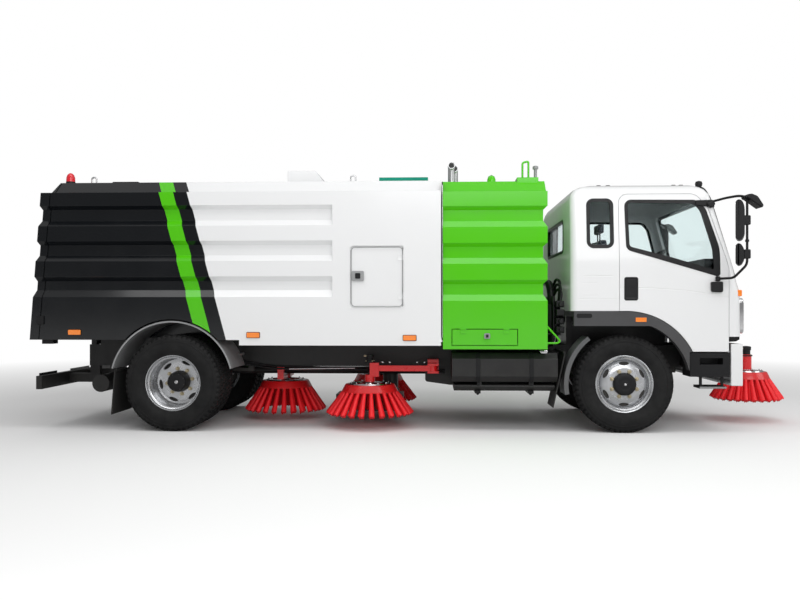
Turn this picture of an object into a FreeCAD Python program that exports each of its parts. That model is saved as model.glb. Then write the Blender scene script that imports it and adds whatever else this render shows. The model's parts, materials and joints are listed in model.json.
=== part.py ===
import FreeCAD, Part
import os
import Sketcher
from FreeCAD import Vector

# Street sweeper truck, millimetres. +X forward, +Y to the vehicle's left, +Z up.
# The origin lies on the ground, midway along and across the vehicle.

SIZES = (
    # running gear
    ("wheelbase", 4700), ("rear_axle_back", 2615), ("tyre_radius", 506), ("tyre_width", 272),
    ("bead_radius", 286), ("flange_lip", 12), ("rim_width", 200), ("front_track", 1900),
    ("rear_track", 1750), ("dual_spacing", 310), ("kingpin_inset", 120), ("kingpin_radius", 22),
    ("spindle_radius", 35), ("steering_arm", 190),
    # frame
    ("rail_outer", 430), ("rail_flange", 70), ("rail_bottom", 640), ("rail_height", 240),
    ("rail_rear", 3800), ("rail_front_ahead", 1005), ("rail_wall", 9), ("tow_height", 780),
    ("tow_bore", 22), ("subframe_height", 79.7),
    ("fit_gap", 0.3), ("running_gap", 0.05), ("panel_gap", 8),
    # hopper
    ("body_half_width", 1190), ("hopper_rear", 4117), ("hopper_front", 192), ("hopper_floor", 960),
    ("skirt_bottom", 905), ("side_top", 2500), ("roof_top", 2640), ("roof_ledge", 110),
    ("roof_inset", 250), ("rear_lean", 118), ("hopper_wall", 80), ("rib_depth", 50),
    ("gate_rib", 16), ("exhaust_radius", 38), ("exhaust_height", 235), ("exhaust_reach", 85),
    ("exhaust_ahead", 100), ("exhaust_stagger", 40), ("exhaust_out", 500), ("exhaust_pitch", 210),
    ("rib_end", 930), ("arch_radius", 670), ("tip_pivot_x", 3750), ("tip_pivot_z", 925),
    ("tip_pin_radius", 18), ("tip_ear_radius", 29), ("tilt_pin_radius", 18), ("tilt_ear_radius", 26),
    ("hoist_pin_radius", 15),
    ("hoist_ear_inset", 60), ("tailgate_thick", 110), ("gate_foot_taper", 16), ("service_thick", 45),
    ("hinge_radius", 8), ("hinge_offset", 7.3), ("service_rear", 746), ("service_front", 199),
    ("service_bottom", 1293), ("service_top", 1933),
    ("hoist_base_x", 2100), ("hoist_base_z", 690), ("hoist_eye_x", 600), ("hoist_eye_z", 890),
    ("hoist_y", 200), ("barrel_radius", 55), ("rod_radius", 35),
    # engine compartment
    ("compartment_rear", 212), ("compartment_front", 1279), ("compartment_bottom", 870),
    ("compartment_top", 2626), ("compartment_wall", 60), ("compartment_rib", 40),
    ("flap_thick", 20), ("flap_rear", 300), ("flap_front", 979), ("flap_bottom", 905), ("flap_top", 1080),
    # cab
    ("cab_half_width", 1130), ("cab_rear_ahead", -558), ("cab_bottom", 1262), ("cab_top", 2598),
    ("cab_wall", 60), ("glass_thick", 6), ("belt_height", 1800), ("tilt_pivot_x_ahead", 1115),
    ("tilt_pivot_z", 960), ("cab_foot", 1000), ("door_rear_ahead", -70), ("door_front_ahead", 1040),
    ("door_bottom", 843),
    ("door_top", 2472), ("arch_cut", 757), ("trim_radius", 652), ("trim_bottom", 1108),
    ("steering_radius", 215),
    ("dash_top", 1800), ("wheel_hub", 1880),
    # front end and sides
    ("bumper_rear_ahead", 1060), ("bumper_front_ahead", 1177), ("bumper_bottom", 498), ("bumper_top", 926),
    ("bumper_half", 1130), ("tank_rear", 306), ("tank_front", 1394), ("tank_bottom", 525),
    ("tank_top", 827), ("underrun_x", 4072), ("underrun_bottom", 430), ("underrun_height", 141),
    # brushes
    ("side_brush_x", 576), ("side_brush_y", 720), ("side_brush_radius", 488),
    ("side_brush_bottom", 150), ("side_disc", 445), ("centre_brush_x", 1627),
    ("centre_brush_bottom", 105), ("centre_disc", 425), ("front_brush_x_ahead", 1627),
    ("front_brush_radius", 406), ("front_brush_bottom", 250), ("front_disc", 540),
    ("arm_pivot_x", 110), ("arm_bottom", 610), ("arm_height", 60),
)


class Size:
    """A length together with the sheet formula that gives it."""

    def __init__(self, value, formula):
        self.value = value
        self.formula = formula

    def __add__(self, other):
        return join(self, "+", other)

    def __radd__(self, other):
        return join(other, "+", self)

    def __sub__(self, other):
        return join(self, "-", other)

    def __rsub__(self, other):
        return join(other, "-", self)

    def __mul__(self, other):
        return join(self, "*", other)

    def __rmul__(self, other):
        return join(other, "*", self)

    def __truediv__(self, other):
        return join(self, "/", other)

    def __neg__(self):
        return join(0, "-", self)


def as_size(number):
    return number if isinstance(number, Size) else Size(float(number), "%r" % float(number))


def join(first, sign, second):
    a, b = as_size(first), as_size(second)
    values = {"+": lambda: a.value + b.value, "-": lambda: a.value - b.value,
              "*": lambda: a.value * b.value, "/": lambda: a.value / b.value}
    return Size(values[sign](), "(%s %s %s)" % (a.formula, sign, b.formula))


def slant_length(run, rise):
    value = (run.value ** 2 + rise.value ** 2) ** 0.5
    return Size(value, "sqrt(%s * %s + %s * %s)" % (run.formula, run.formula, rise.formula, rise.formula))


doc = FreeCAD.newDocument("street_sweeper")
sheet = doc.addObject("Spreadsheet::Sheet", "Sizes")


class Dimensions:
    """Every driving dimension of the sheet, by its alias."""


dim = Dimensions()
for row, (alias, number) in enumerate(SIZES, 1):
    sheet.set("A%d" % row, alias)
    sheet.set("B%d" % row, str(number))
    sheet.setAlias("B%d" % row, alias)
    setattr(dim, alias, Size(float(number), "Sizes." + alias))
doc.recompute()

nodes = []


def bind(item, **properties):
    for name, value in properties.items():
        item.setExpression(name.replace("__", "."), as_size(value).formula)
    return item


def place(item, x=0, y=0, z=0):
    return bind(item, Placement__Base__x=x, Placement__Base__y=y, Placement__Base__z=z)


def box(name, x, y, z):
    """A block between the two ends given for each direction."""
    item = doc.addObject("Part::Box", name)
    bind(item, Length=x[1] - x[0], Width=y[1] - y[0], Height=z[1] - z[0])
    return place(item, x[0], y[0], z[0])


TURNS = {"X": FreeCAD.Rotation(Vector(0, 1, 0), 90), "Y": FreeCAD.Rotation(Vector(1, 0, 0), -90),
         "Z": FreeCAD.Rotation()}


def rod(name, along, radius, start, length, angle=360):
    """A round bar from its start point along one axis."""
    item = doc.addObject("Part::Cylinder", name)
    item.Angle = angle
    item.Placement = FreeCAD.Placement(Vector(), TURNS[along])
    bind(item, Radius=radius, Height=length)
    return place(item, *start)


def lean(item, run, rise):
    """Turns a bar that stands upright until it points along the given run and rise."""
    item.Placement = FreeCAD.Placement(Vector(), FreeCAD.Rotation(Vector(0, 1, 0), 45))
    item.setExpression("Placement.Rotation.Angle", "90 deg - atan2(%s; %s)" % (rise.formula, run.formula))
    return item


def fuse(name, *items):
    item = doc.addObject("Part::MultiFuse", name)
    item.Shapes = list(items)
    return item


def cut(name, base, *tools):
    item = doc.addObject("Part::Cut", name)
    item.Base = base
    item.Tool = tools[0] if len(tools) == 1 else fuse(name + "_tools", *tools)
    return item


def common(name, *items):
    item = doc.addObject("Part::MultiCommon", name)
    item.Shapes = list(items)
    return item


def group(name, *items):
    item = doc.addObject("Part::Compound", name)
    item.Links = list(items)
    return item


def mirrored(name, source):
    item = doc.addObject("Part::Mirroring", name)
    item.Source = source
    item.Normal = Vector(0, 1, 0)
    return item


def both_sides(name, source):
    return group(name, source, mirrored(name + "_mirror", source))


def node(name, item):
    item.Label = name
    nodes.append(item)
    return item


def sketch_outline(body, role, corners):
    sketch = body.newObject("Sketcher::SketchObject", body.Name + "_sketch")
    plane = [item for item in body.Origin.OriginFeatures if item.Role == role][0]
    sketch.AttachmentSupport = [(plane, "")]
    sketch.MapMode = "FlatFace"
    corners = [(as_size(a), as_size(b)) for a, b in corners]
    points = [Vector(a.value, b.value, 0) for a, b in corners]
    count = len(points)
    sketch.addGeometry([Part.LineSegment(points[i], points[(i + 1) % count]) for i in range(count)], False)
    sketch.addConstraint([Sketcher.Constraint("Coincident", i, 2, (i + 1) % count, 1) for i in range(count)])
    for i, corner in enumerate(corners):
        for kind, length in zip(("DistanceX", "DistanceY"), corner):
            index = sketch.addConstraint(Sketcher.Constraint(kind, -1, 1, i, 1, length.value))
            sketch.setExpression("Constraints[%d]" % index, length.formula)
    return sketch


def prism(name, role, corners, ends):
    """A flat outline on an origin plane, padded between two distances along that plane's axis."""
    body = doc.addObject("PartDesign::Body", name)
    sketch = sketch_outline(body, role, corners)
    start = -ends[1] if role == "XZ_Plane" else as_size(ends[0])
    sketch.setExpression("AttachmentOffset.Base.z", as_size(start).formula)
    pad = body.newObject("PartDesign::Pad", name + "_pad")
    pad.Profile = sketch
    pad.setExpression("Length", as_size(ends[1] - ends[0]).formula)
    return body


def turned(name, role, corners):
    """An outline of (radius, height) pairs turned about the upright axis of its plane."""
    body = doc.addObject("PartDesign::Body", name)
    sketch = sketch_outline(body, role, corners)
    turn = body.newObject("PartDesign::Revolution", name + "_turn")
    turn.Profile = sketch
    turn.ReferenceAxis = (sketch, ["V_Axis"])
    turn.Angle = 360
    return body


rear_axle_x = -dim.rear_axle_back
front_axle_x = dim.wheelbase - dim.rear_axle_back
axle_z = dim.tyre_radius
rail_top = dim.rail_bottom + dim.rail_height
rail_inner = dim.rail_outer - dim.rail_flange
kingpin_y = dim.front_track / 2 - dim.kingpin_inset
front_y = dim.front_track / 2
rear_y = dim.rear_track / 2
spring_y = dim.rail_outer - dim.rail_flange / 2


def ahead(distance):
    """A place along the vehicle, measured forward from the front axle."""
    return front_axle_x + distance


for alias in ("rail_front", "cab_rear", "tilt_pivot_x", "door_rear", "door_front", "bumper_rear",
              "bumper_front",
              "front_brush_x"):
    setattr(dim, alias, ahead(getattr(dim, alias + "_ahead")))


# ---- running gear ----

def tyre_outline(middle):
    """Half section of a tyre; radius, then distance outward from the vehicle's middle."""
    half = dim.tyre_width / 2
    bead = dim.rim_width / 2 - 22
    inner = dim.bead_radius + dim.fit_gap
    side = (
        # radius, half width
        (inner, bead), (inner + 14, bead + 1), (inner + 45, half - 18), (inner + 115, half),
        (dim.tyre_radius - 46, half - 8), (dim.tyre_radius - 12, half - 26), (dim.tyre_radius, half - 46),
    )
    outer = [(radius, middle + width) for radius, width in side]
    return outer + [(radius, middle - width) for radius, width in reversed(side)]


def make_front_tyre():
    tyre = place(turned("tyre_front_right_ring", "XY_Plane", tyre_outline(as_size(0))), front_axle_x,
                 -front_y, axle_z)
    node("tyre_front_right", tyre)
    node("tyre_front_left", mirrored("tyre_front_left_ring", tyre))


def make_front_rim():
    half = dim.rim_width / 2
    lip = dim.bead_radius + dim.flange_lip
    drop = dim.bead_radius - 16
    bore = dim.spindle_radius + dim.running_gap
    outline = [
        # radius, height outboard of the rim's middle, as minus because outboard is -Y here
        (lip, half), (lip, half - 14), (dim.bead_radius, half - 20), (dim.bead_radius, 20 - half),
        (lip, 14 - half), (lip, -half), (drop + 4, -half), (drop - 8, -74), (215, -66), (160, -96),
        (118, -96), (118, -150), (0, -150), (0, -60), (bore, -60), (bore, 25), (90, 25), (90, -80),
        (155, -80), (210, -50), (drop - 8, -56), (drop, half - 30), (drop + 10, half),
    ]
    rim = place(turned("rim_front_right_turned", "XY_Plane", outline), front_axle_x, -front_y, axle_z)
    node("rim_front_right", rim)
    node("rim_front_left", mirrored("rim_front_left_turned", rim))


def make_rear_wheels():
    shift = dim.dual_spacing / 2
    outer = turned("tyre_rear_outer", "XY_Plane", tyre_outline(-shift))
    inner = turned("tyre_rear_inner", "XY_Plane", tyre_outline(shift))
    for tyre in (outer, inner):
        place(tyre, rear_axle_x, -rear_y, axle_z)
    right = group("tyres_rear_right_pair", outer, inner)
    node("tyres_rear_right", right)
    node("tyres_rear_left", mirrored("tyres_rear_left_pair", right))

    near = shift - dim.rim_width / 2
    far = shift + dim.rim_width / 2
    lip = dim.bead_radius + dim.flange_lip
    drop = dim.bead_radius - 18
    bore = 62
    half = [
        # radius, distance from the plane midway between the twin tyres
        (lip, near), (lip, near + 14), (dim.bead_radius, near + 20), (dim.bead_radius, far - 20),
        (lip, far - 14), (lip, far), (lip - 20, far), (drop, far - 20), (drop, near + 40), (212, 16),
    ]
    outboard = [(radius, -distance) for radius, distance in half]
    inboard = list(reversed(half))
    hub = [(115, -16), (115, -150), (0, -150), (0, 30), (bore, 30), (bore, 180), (205, 180), (205, 30)]
    outline = outboard + hub + inboard[1:] + [(lip - 20, near), (228, 0), (lip - 20, -near)]
    rim = place(turned("rims_rear_right_turned", "XY_Plane", outline), rear_axle_x, -rear_y, axle_z)
    node("rims_rear_right", rim)
    node("rims_rear_left", mirrored("rims_rear_left_turned", rim))


def make_rear_axle():
    reach = rear_y - 31
    tube = rod("rear_axle_tube", "Y", 62 - dim.fit_gap, (rear_axle_x, -reach, axle_z), reach * 2)
    drum = rod("differential", "X", 190, (rear_axle_x - 150, 0, axle_z), 300)
    nose = rod("pinion_nose", "X", 75, (rear_axle_x, 0, axle_z + 60), 300)
    seats = [box("rear_seat_%d" % i, (rear_axle_x - 60, rear_axle_x + 60), (y - 40, y + 40),
                 (axle_z, axle_z + 75))
             for i, y in enumerate((-spring_y, spring_y))]
    node("rear_axle", fuse("rear_axle_whole", tube, drum, nose, *seats))


def make_front_axle():
    eye = 55
    beam_low, beam_high = axle_z - 90, axle_z - 10
    boss_low, boss_high = axle_z - 55, axle_z + 55
    beam = box("front_beam", (front_axle_x - 45, front_axle_x + 45), (-kingpin_y + 90, kingpin_y - 90),
               (beam_low, beam_high))
    parts = [beam]
    for side, sign in (("right", -1), ("left", 1)):
        y = kingpin_y * sign
        span = (y, y + 130) if sign < 0 else (y - 130, y)
        parts.append(box("beam_end_" + side, (front_axle_x - 40, front_axle_x + 40), span,
                         (boss_low + 15, boss_high - 15)))
        parts.append(rod("boss_" + side, "Z", eye, (front_axle_x, y, boss_low), boss_high - boss_low))
        parts.append(box("front_seat_" + side, (front_axle_x - 60, front_axle_x + 60),
                         (spring_y * sign - 40, spring_y * sign + 40), (beam_high, axle_z + 39)))
    whole = fuse("front_axle_solid", *parts)
    bores = [rod("kingpin_bore_" + side, "Z", dim.kingpin_radius + dim.running_gap,
                 (front_axle_x, kingpin_y * sign, boss_low - 10), 130)
             for side, sign in (("right", -1), ("left", 1))]
    node("front_axle", cut("front_axle_whole", whole, *bores))


def make_knuckle():
    """Fork about the axle eye, with the kingpin, the wheel's spindle and the steering arm."""
    y = -kingpin_y
    low, high = axle_z - 55 - 1, axle_z + 55 + 1
    plate = 26
    web_in, web_out = y - 60, y - 84
    parts = [
        box("fork_top", (front_axle_x - 45, front_axle_x + 45), (web_out, y + 45), (high, high + plate)),
        box("fork_low", (front_axle_x - 45, front_axle_x + 45), (web_out, y + 45), (low - plate, low)),
        box("fork_web", (front_axle_x - 45, front_axle_x + 45), (web_out, web_in),
            (low - plate, high + plate)),
        rod("kingpin", "Z", dim.kingpin_radius, (front_axle_x, y, low - plate), high - low + plate * 2),
        rod("spindle", "Y", dim.spindle_radius, (front_axle_x, -front_y - 58, axle_z), front_y + 58 + web_in),
        box("steering_lever", (front_axle_x - dim.steering_arm - 30, front_axle_x - 30), (y - 10, y + 40),
            (low - plate, low)),
    ]
    knuckle = fuse("knuckle_right_whole", *parts)
    node("knuckle_right", knuckle)
    node("knuckle_left", mirrored("knuckle_left_whole", knuckle))


def make_tie_rod():
    top = axle_z - 55 - 1 - 26 - dim.fit_gap
    bar = rod("tie_rod_bar", "Y", 18, (front_axle_x - dim.steering_arm, -kingpin_y + 15, top - 18),
              (kingpin_y - 15) * 2)
    node("tie_rod", bar)


def make_springs():
    parts = []
    for name, x, middle in (("front", front_axle_x, axle_z + 39), ("rear", rear_axle_x, axle_z + 75)):
        reach = 700
        leaf = 46
        outline = [
            (x - reach, dim.rail_bottom - 55), (x - 90, middle), (x + 90, middle),
            (x + reach, dim.rail_bottom - 55),
            (x + reach, dim.rail_bottom - 25), (x + 90, middle + leaf), (x - 90, middle + leaf),
            (x - reach, dim.rail_bottom - 25),
        ]
        y = -spring_y - 35
        pack = prism(name + "_leaf", "XZ_Plane", outline, (y, y + 70))
        hangers = [box("%s_hanger_%d" % (name, i), (end, end + 60), (y, y + 70),
                       (dim.rail_bottom - 60, dim.rail_bottom))
                   for i, end in enumerate((x - reach, x + reach - 60))]
        parts.append(fuse(name + "_spring", pack, *hangers))
    right = group("springs_right", *parts)
    node("leaf_springs", both_sides("leaf_springs_pair", right))


def make_propshaft():
    start = rear_axle_x + 300
    end = ahead(-1085)
    shaft = rod("propshaft_tube", "X", 42, (start, 0, axle_z + 60), end - start)
    joint_rear = rod("propshaft_rear_joint", "X", 62, (start, 0, axle_z + 60), 60)
    joint_front = rod("propshaft_front_joint", "X", 62, (end - 60, 0, axle_z + 60), 60)
    node("propshaft", fuse("propshaft_whole", shaft, joint_rear, joint_front))


def make_engines():
    block = box("engine_block", (ahead(-485), ahead(615)), (-330, 330), (650, 1130))
    gearbox = box("gearbox", (ahead(-1085), ahead(-485)), (-190, 190), (axle_z - 20, 860))
    node("main_engine", fuse("main_engine_whole", block, gearbox))
    floor = dim.compartment_bottom + dim.compartment_wall
    node("sweeper_engine", box("sweeper_engine_block",
                               (dim.compartment_rear + 170, dim.compartment_front - 170),
                               (-480, 480), (floor, floor + 800)))


# ---- frame ----

def make_frame():
    parts = []
    for side, sign in (("right", -1), ("left", 1)):
        inner, outer = rail_inner * sign, dim.rail_outer * sign
        ends = (outer, inner) if sign < 0 else (inner, outer)
        rail = box("rail_" + side, (-dim.rail_rear, dim.rail_front), ends, (dim.rail_bottom, rail_top))
        hollow_ends = (outer + dim.rail_wall, inner + 1) if sign < 0 else (inner - 1, outer - dim.rail_wall)
        hollow = box("rail_hollow_" + side, (-dim.rail_rear - 1, dim.rail_front + 1), hollow_ends,
                     (dim.rail_bottom + dim.rail_wall, rail_top - dim.rail_wall))
        parts.append(cut("channel_" + side, rail, hollow))
        subframe = box("subframe_" + side, (-dim.rail_rear + 130, dim.hopper_front - 40), ends,
                       (rail_top, rail_top + dim.subframe_height))
        parts.append(subframe)
        parts.append(box("tip_ear_" + side, (-dim.tip_pivot_x - dim.tip_ear_radius,
                                             -dim.tip_pivot_x + dim.tip_ear_radius),
                         ends, (rail_top, dim.tip_pivot_z)))
        parts.append(box("cab_horn_" + side, (dim.rail_front - 90, dim.tilt_pivot_x + 30), ends,
                         (rail_top - 90, rail_top)))
        parts.append(box("cab_ear_" + side, (dim.tilt_pivot_x - dim.tilt_ear_radius,
                                             dim.tilt_pivot_x + dim.tilt_ear_radius),
                         ends, (rail_top - 90, dim.tilt_pivot_z)))
        parts.append(box("cab_rear_stand_" + side, (dim.cab_rear + 60, dim.cab_rear + 120), ends,
                         (rail_top, dim.cab_bottom - dim.cab_wall - dim.fit_gap)))
    # place along the frame, bottom, top
    cross = ((-3700, 700, 860), (-2240, 650, 730), (-300, 700, 860), (ahead(-1185), 700, 860),
             (ahead(815), 640, 800))
    for i, (x, low, high) in enumerate(cross):
        parts.append(box("crossmember_%d" % i, (x, x + 60),
                         (dim.rail_wall - dim.rail_outer, dim.rail_outer - dim.rail_wall), (low, high)))
    for i, y in enumerate((-dim.hoist_y, dim.hoist_y)):
        for j, ear_y in enumerate((y - dim.hoist_ear_inset - 12, y + dim.hoist_ear_inset)):
            parts.append(box("hoist_ear_%d_%d" % (i, j), (-2190, 30 - dim.hoist_base_x), (ear_y, ear_y + 12),
                             (655, dim.hoist_base_z + 28)))
        parts.append(rod("hoist_pin_%d" % i, "Y", dim.hoist_pin_radius,
                         (-dim.hoist_base_x, y - dim.hoist_ear_inset, dim.hoist_base_z),
                         dim.hoist_ear_inset * 2))
    for side, y in (("right", -dim.rail_outer), ("left", rail_inner)):
        parts.append(rod("tip_ear_round_" + side, "Y", dim.tip_ear_radius,
                         (-dim.tip_pivot_x, y, dim.tip_pivot_z), dim.rail_flange))
        parts.append(rod("cab_ear_round_" + side, "Y", dim.tilt_ear_radius,
                         (dim.tilt_pivot_x, y, dim.tilt_pivot_z), dim.rail_flange))
    parts.append(rod("tip_pin", "Y", dim.tip_pin_radius, (-dim.tip_pivot_x, -dim.rail_outer, dim.tip_pivot_z),
                     dim.rail_outer * 2))
    parts.append(rod("tilt_pin", "Y", dim.tilt_pin_radius,
                     (dim.tilt_pivot_x, -dim.rail_outer, dim.tilt_pivot_z),
                     dim.rail_outer * 2))
    jaw = [box("tow_jaw_%d" % i, (-dim.rail_rear - 70, -dim.rail_rear + 110), (-60, 60), (z, z + 25))
           for i, z in enumerate((dim.tow_height - 60, dim.tow_height + 35))]
    jaw_bore = rod("tow_jaw_bore", "Z", dim.tow_bore, (-dim.rail_rear - 25, 0, dim.tow_height - 80), 160)
    node("frame_rails", fuse("frame_whole", cut("tow_jaw", fuse("tow_jaw_plates", *jaw), jaw_bore), *parts))


def make_underrun():
    x = -dim.underrun_x
    bar = box("underrun_bar_solid", (x - 30, x + 30), (-1080, 1080),
              (dim.underrun_bottom, dim.underrun_bottom + dim.underrun_height))
    parts = [bar]
    for side, sign in (("right", -1), ("left", 1)):
        y = (rail_inner + 20) * sign
        parts.append(box("underrun_arm_" + side, (x, -dim.rail_rear + 110), (y - 30, y + 30),
                         (dim.underrun_bottom + 20, dim.underrun_bottom + 120)))
        parts.append(box("underrun_drop_" + side, (-dim.rail_rear, -dim.rail_rear + 110), (y - 30, y + 30),
                         (dim.underrun_bottom + 20, dim.rail_bottom)))
    node("underrun_bar", fuse("underrun_whole", *parts))


def make_fuel_tank():
    near, far = -1120, -560
    low, high = dim.tank_bottom, dim.tank_top
    outline = [(near, low + 60), (near + 60, low), (far - 30, low), (far, low + 30), (far, high - 30),
               (far - 30, high), (near + 60, high), (near, high - 60)]
    tank = prism("fuel_tank_shell", "YZ_Plane", outline, (dim.tank_rear, dim.tank_front))
    parts = [tank]
    for i, x in enumerate((dim.tank_rear + 260, dim.tank_front - 290)):
        parts.append(box("tank_bracket_%d" % i, (x, x + 50), (far - 60, -dim.rail_outer),
                         (high - 110, high - 30)))
        parts.append(box("tank_foot_%d" % i, (x, x + 50), (near + 80, far - 40), (low - 40, low)))
    node("fuel_tank", fuse("fuel_tank_whole", *parts))


def make_battery_box():
    case = box("battery_case", (400, 1050), (640, 1100), (560, 850))
    carrier = box("battery_carrier", (420, 1030), (dim.rail_outer, 640), (700, 840))
    node("battery_box", fuse("battery_box_whole", case, carrier))


def make_air_tanks():
    parts = []
    for i, (x, y, z, reach) in enumerate(((-3520, -800, 470, 620), (-3520, 180, 470, 620))):
        tank = rod("air_tank_%d" % i, "Y", 95, (x, y, z), reach)
        strap = box("air_strap_%d" % i, (x - 40, x + 40), (-dim.rail_outer if y < 0 else rail_inner,
                    -rail_inner if y < 0 else dim.rail_outer), (z, dim.rail_bottom))
        parts.append(fuse("air_tank_set_%d" % i, tank, strap))
    node("air_tanks", group("air_tanks_pair", *parts))


def make_bumper():
    outer = box("bumper_outer", (dim.bumper_rear, dim.bumper_front), (-dim.bumper_half, dim.bumper_half),
                (dim.bumper_bottom, dim.bumper_top))
    inner = box("bumper_inner", (dim.bumper_rear - 1, dim.bumper_front - 30),
                (30 - dim.bumper_half, dim.bumper_half - 30), (dim.bumper_bottom + 30, dim.bumper_top + 1))
    shell = cut("bumper_shell", outer, inner)
    stays = [box("bumper_stay_%d" % i, (dim.rail_front, dim.bumper_front - 10), (y - 30, y + 30),
                 (dim.rail_bottom + 20, rail_top - 100))
             for i, y in enumerate((-spring_y, spring_y))]
    node("front_bumper", fuse("bumper_whole", shell, *stays))


def make_steps():
    rear, front = ahead(648), ahead(1050)
    panel = box("step_body", (rear, front), (-1120, -860), (589, 833))
    recess = box("step_recess", (rear + 100, front - 70), (-1121, -960), (715, 780))
    tread = box("step_tread", (rear + 100, front - 40), (-1100, -900), (467, 492))
    hangers = [box("step_hanger_%d" % i, (x, x + 25), (-1080, -1050), (480, 600))
               for i, x in enumerate((rear + 110, front - 75))]
    stay = box("step_stay", (rear + 100, rear + 170), (-880, -dim.rail_outer), (660, 740))
    right = fuse("step_right", cut("step_cut", panel, recess), tread, stay, *hangers)
    node("step_panels", both_sides("step_pair", right))


def arc_band(name, centre_x, radius, thick, sides, first, sweep):
    """Part of a ring about a wheel's axis, counted from straight ahead over the top."""
    outer = rod(name + "_outer", "Y", radius + thick, (centre_x, sides[0], axle_z), sides[1] - sides[0],
                sweep)
    inner = rod(name + "_inner", "Y", radius, (centre_x, sides[0] - 1, axle_z), sides[1] - sides[0] + 2)
    turn = FreeCAD.Rotation(Vector(0, 1, 0), -first - sweep)
    outer.Placement = FreeCAD.Placement(Vector(), turn.multiply(TURNS["Y"]))
    place(outer, centre_x, sides[0], axle_z)
    return cut(name, outer, inner)


def make_mudguards():
    rear = arc_band("rear_guard", rear_axle_x, 636, 16, (-dim.body_half_width + 5, -590), 14, 152)
    posts = [rod("rear_guard_stay_%d" % i, "Y", 14, (rear_axle_x + x, -700, 780), 700 - dim.rail_outer)
             for i, x in enumerate((-584, 584))]
    rear_set = fuse("rear_guard_set", rear, *posts)
    front = arc_band("front_guard", front_axle_x, 580, 45, (-1100, -780), 128, 62)
    stay = rod("front_guard_stay", "Y", 16, (front_axle_x - 570, -1000, 700), 1000 - dim.rail_outer)
    front_set = fuse("front_guard_set", front, stay)
    node("mudguards", both_sides("mudguards_pair", group("mudguards_right", rear_set, front_set)))


def make_mudflaps():
    rear = prism("rear_flap", "XZ_Plane", [(-3262, 177), (-3250, 177), (-3216, 640), (-3228, 640)],
                 (-1160, -600))
    front = prism("front_flap", "XZ_Plane",
                  [(ahead(-742), 264), (ahead(-730), 264), (ahead(-607), 830), (ahead(-619), 830)],
                  (-1090, -700))
    bar = rod("front_flap_bar", "Y", 14, (ahead(-615), -1060, 830), 1060 - dim.rail_outer)
    front_set = fuse("front_flap_set", front, bar)
    bar = rod("rear_flap_bar", "Y", 14, (-3222, -1140, 634), 1140 - dim.rail_outer)
    rear_set = fuse("rear_flap_set", rear, bar)
    node("mudflaps", both_sides("mudflaps_pair", group("mudflaps_right", rear_set, front_set)))


# ---- hopper ----

def rib_cuts(name, x, half_width, depth, bands):
    """Grooves pressed along both flanks; each band gives the four heights of its trapezium."""
    tools = []
    for i, (top, step, floor, slope) in enumerate(bands):
        outline = [(-half_width - 1, top), (-half_width + depth, step), (-half_width + depth, floor),
                   (-half_width - 1, slope)]
        right = prism("%s_%d" % (name, i), "YZ_Plane", outline, x)
        tools += [right, mirrored("%s_left_%d" % (name, i), right)]
    return tools


def body_section(half_width, bottom, side_top, top, inset=0):
    """Cross-section of the bodywork with its sloping roof edges; inset makes the space inside."""
    half = half_width - inset
    ledge = half_width - dim.roof_ledge - inset
    roof = half_width - dim.roof_inset - inset
    return [(-half, bottom), (half, bottom), (half, side_top - inset), (ledge, side_top - inset + 8),
            (roof, top - inset), (-roof, top - inset), (-ledge, side_top - inset + 8),
            (-half, side_top - inset)]


HOPPER_RIBS = (
    # top, foot of the step, floor of the groove, foot of the slope
    (2362, 2322, 2206, 2148), (1992, 1950, 1842, 1780), (1622, 1572, 1480, 1405),
)

COMPARTMENT_RIBS = (
    (2339, 2300, 2186, 2123), (1962, 1923, 1808, 1745), (1582, 1539, 1430, 1365),
)


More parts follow.
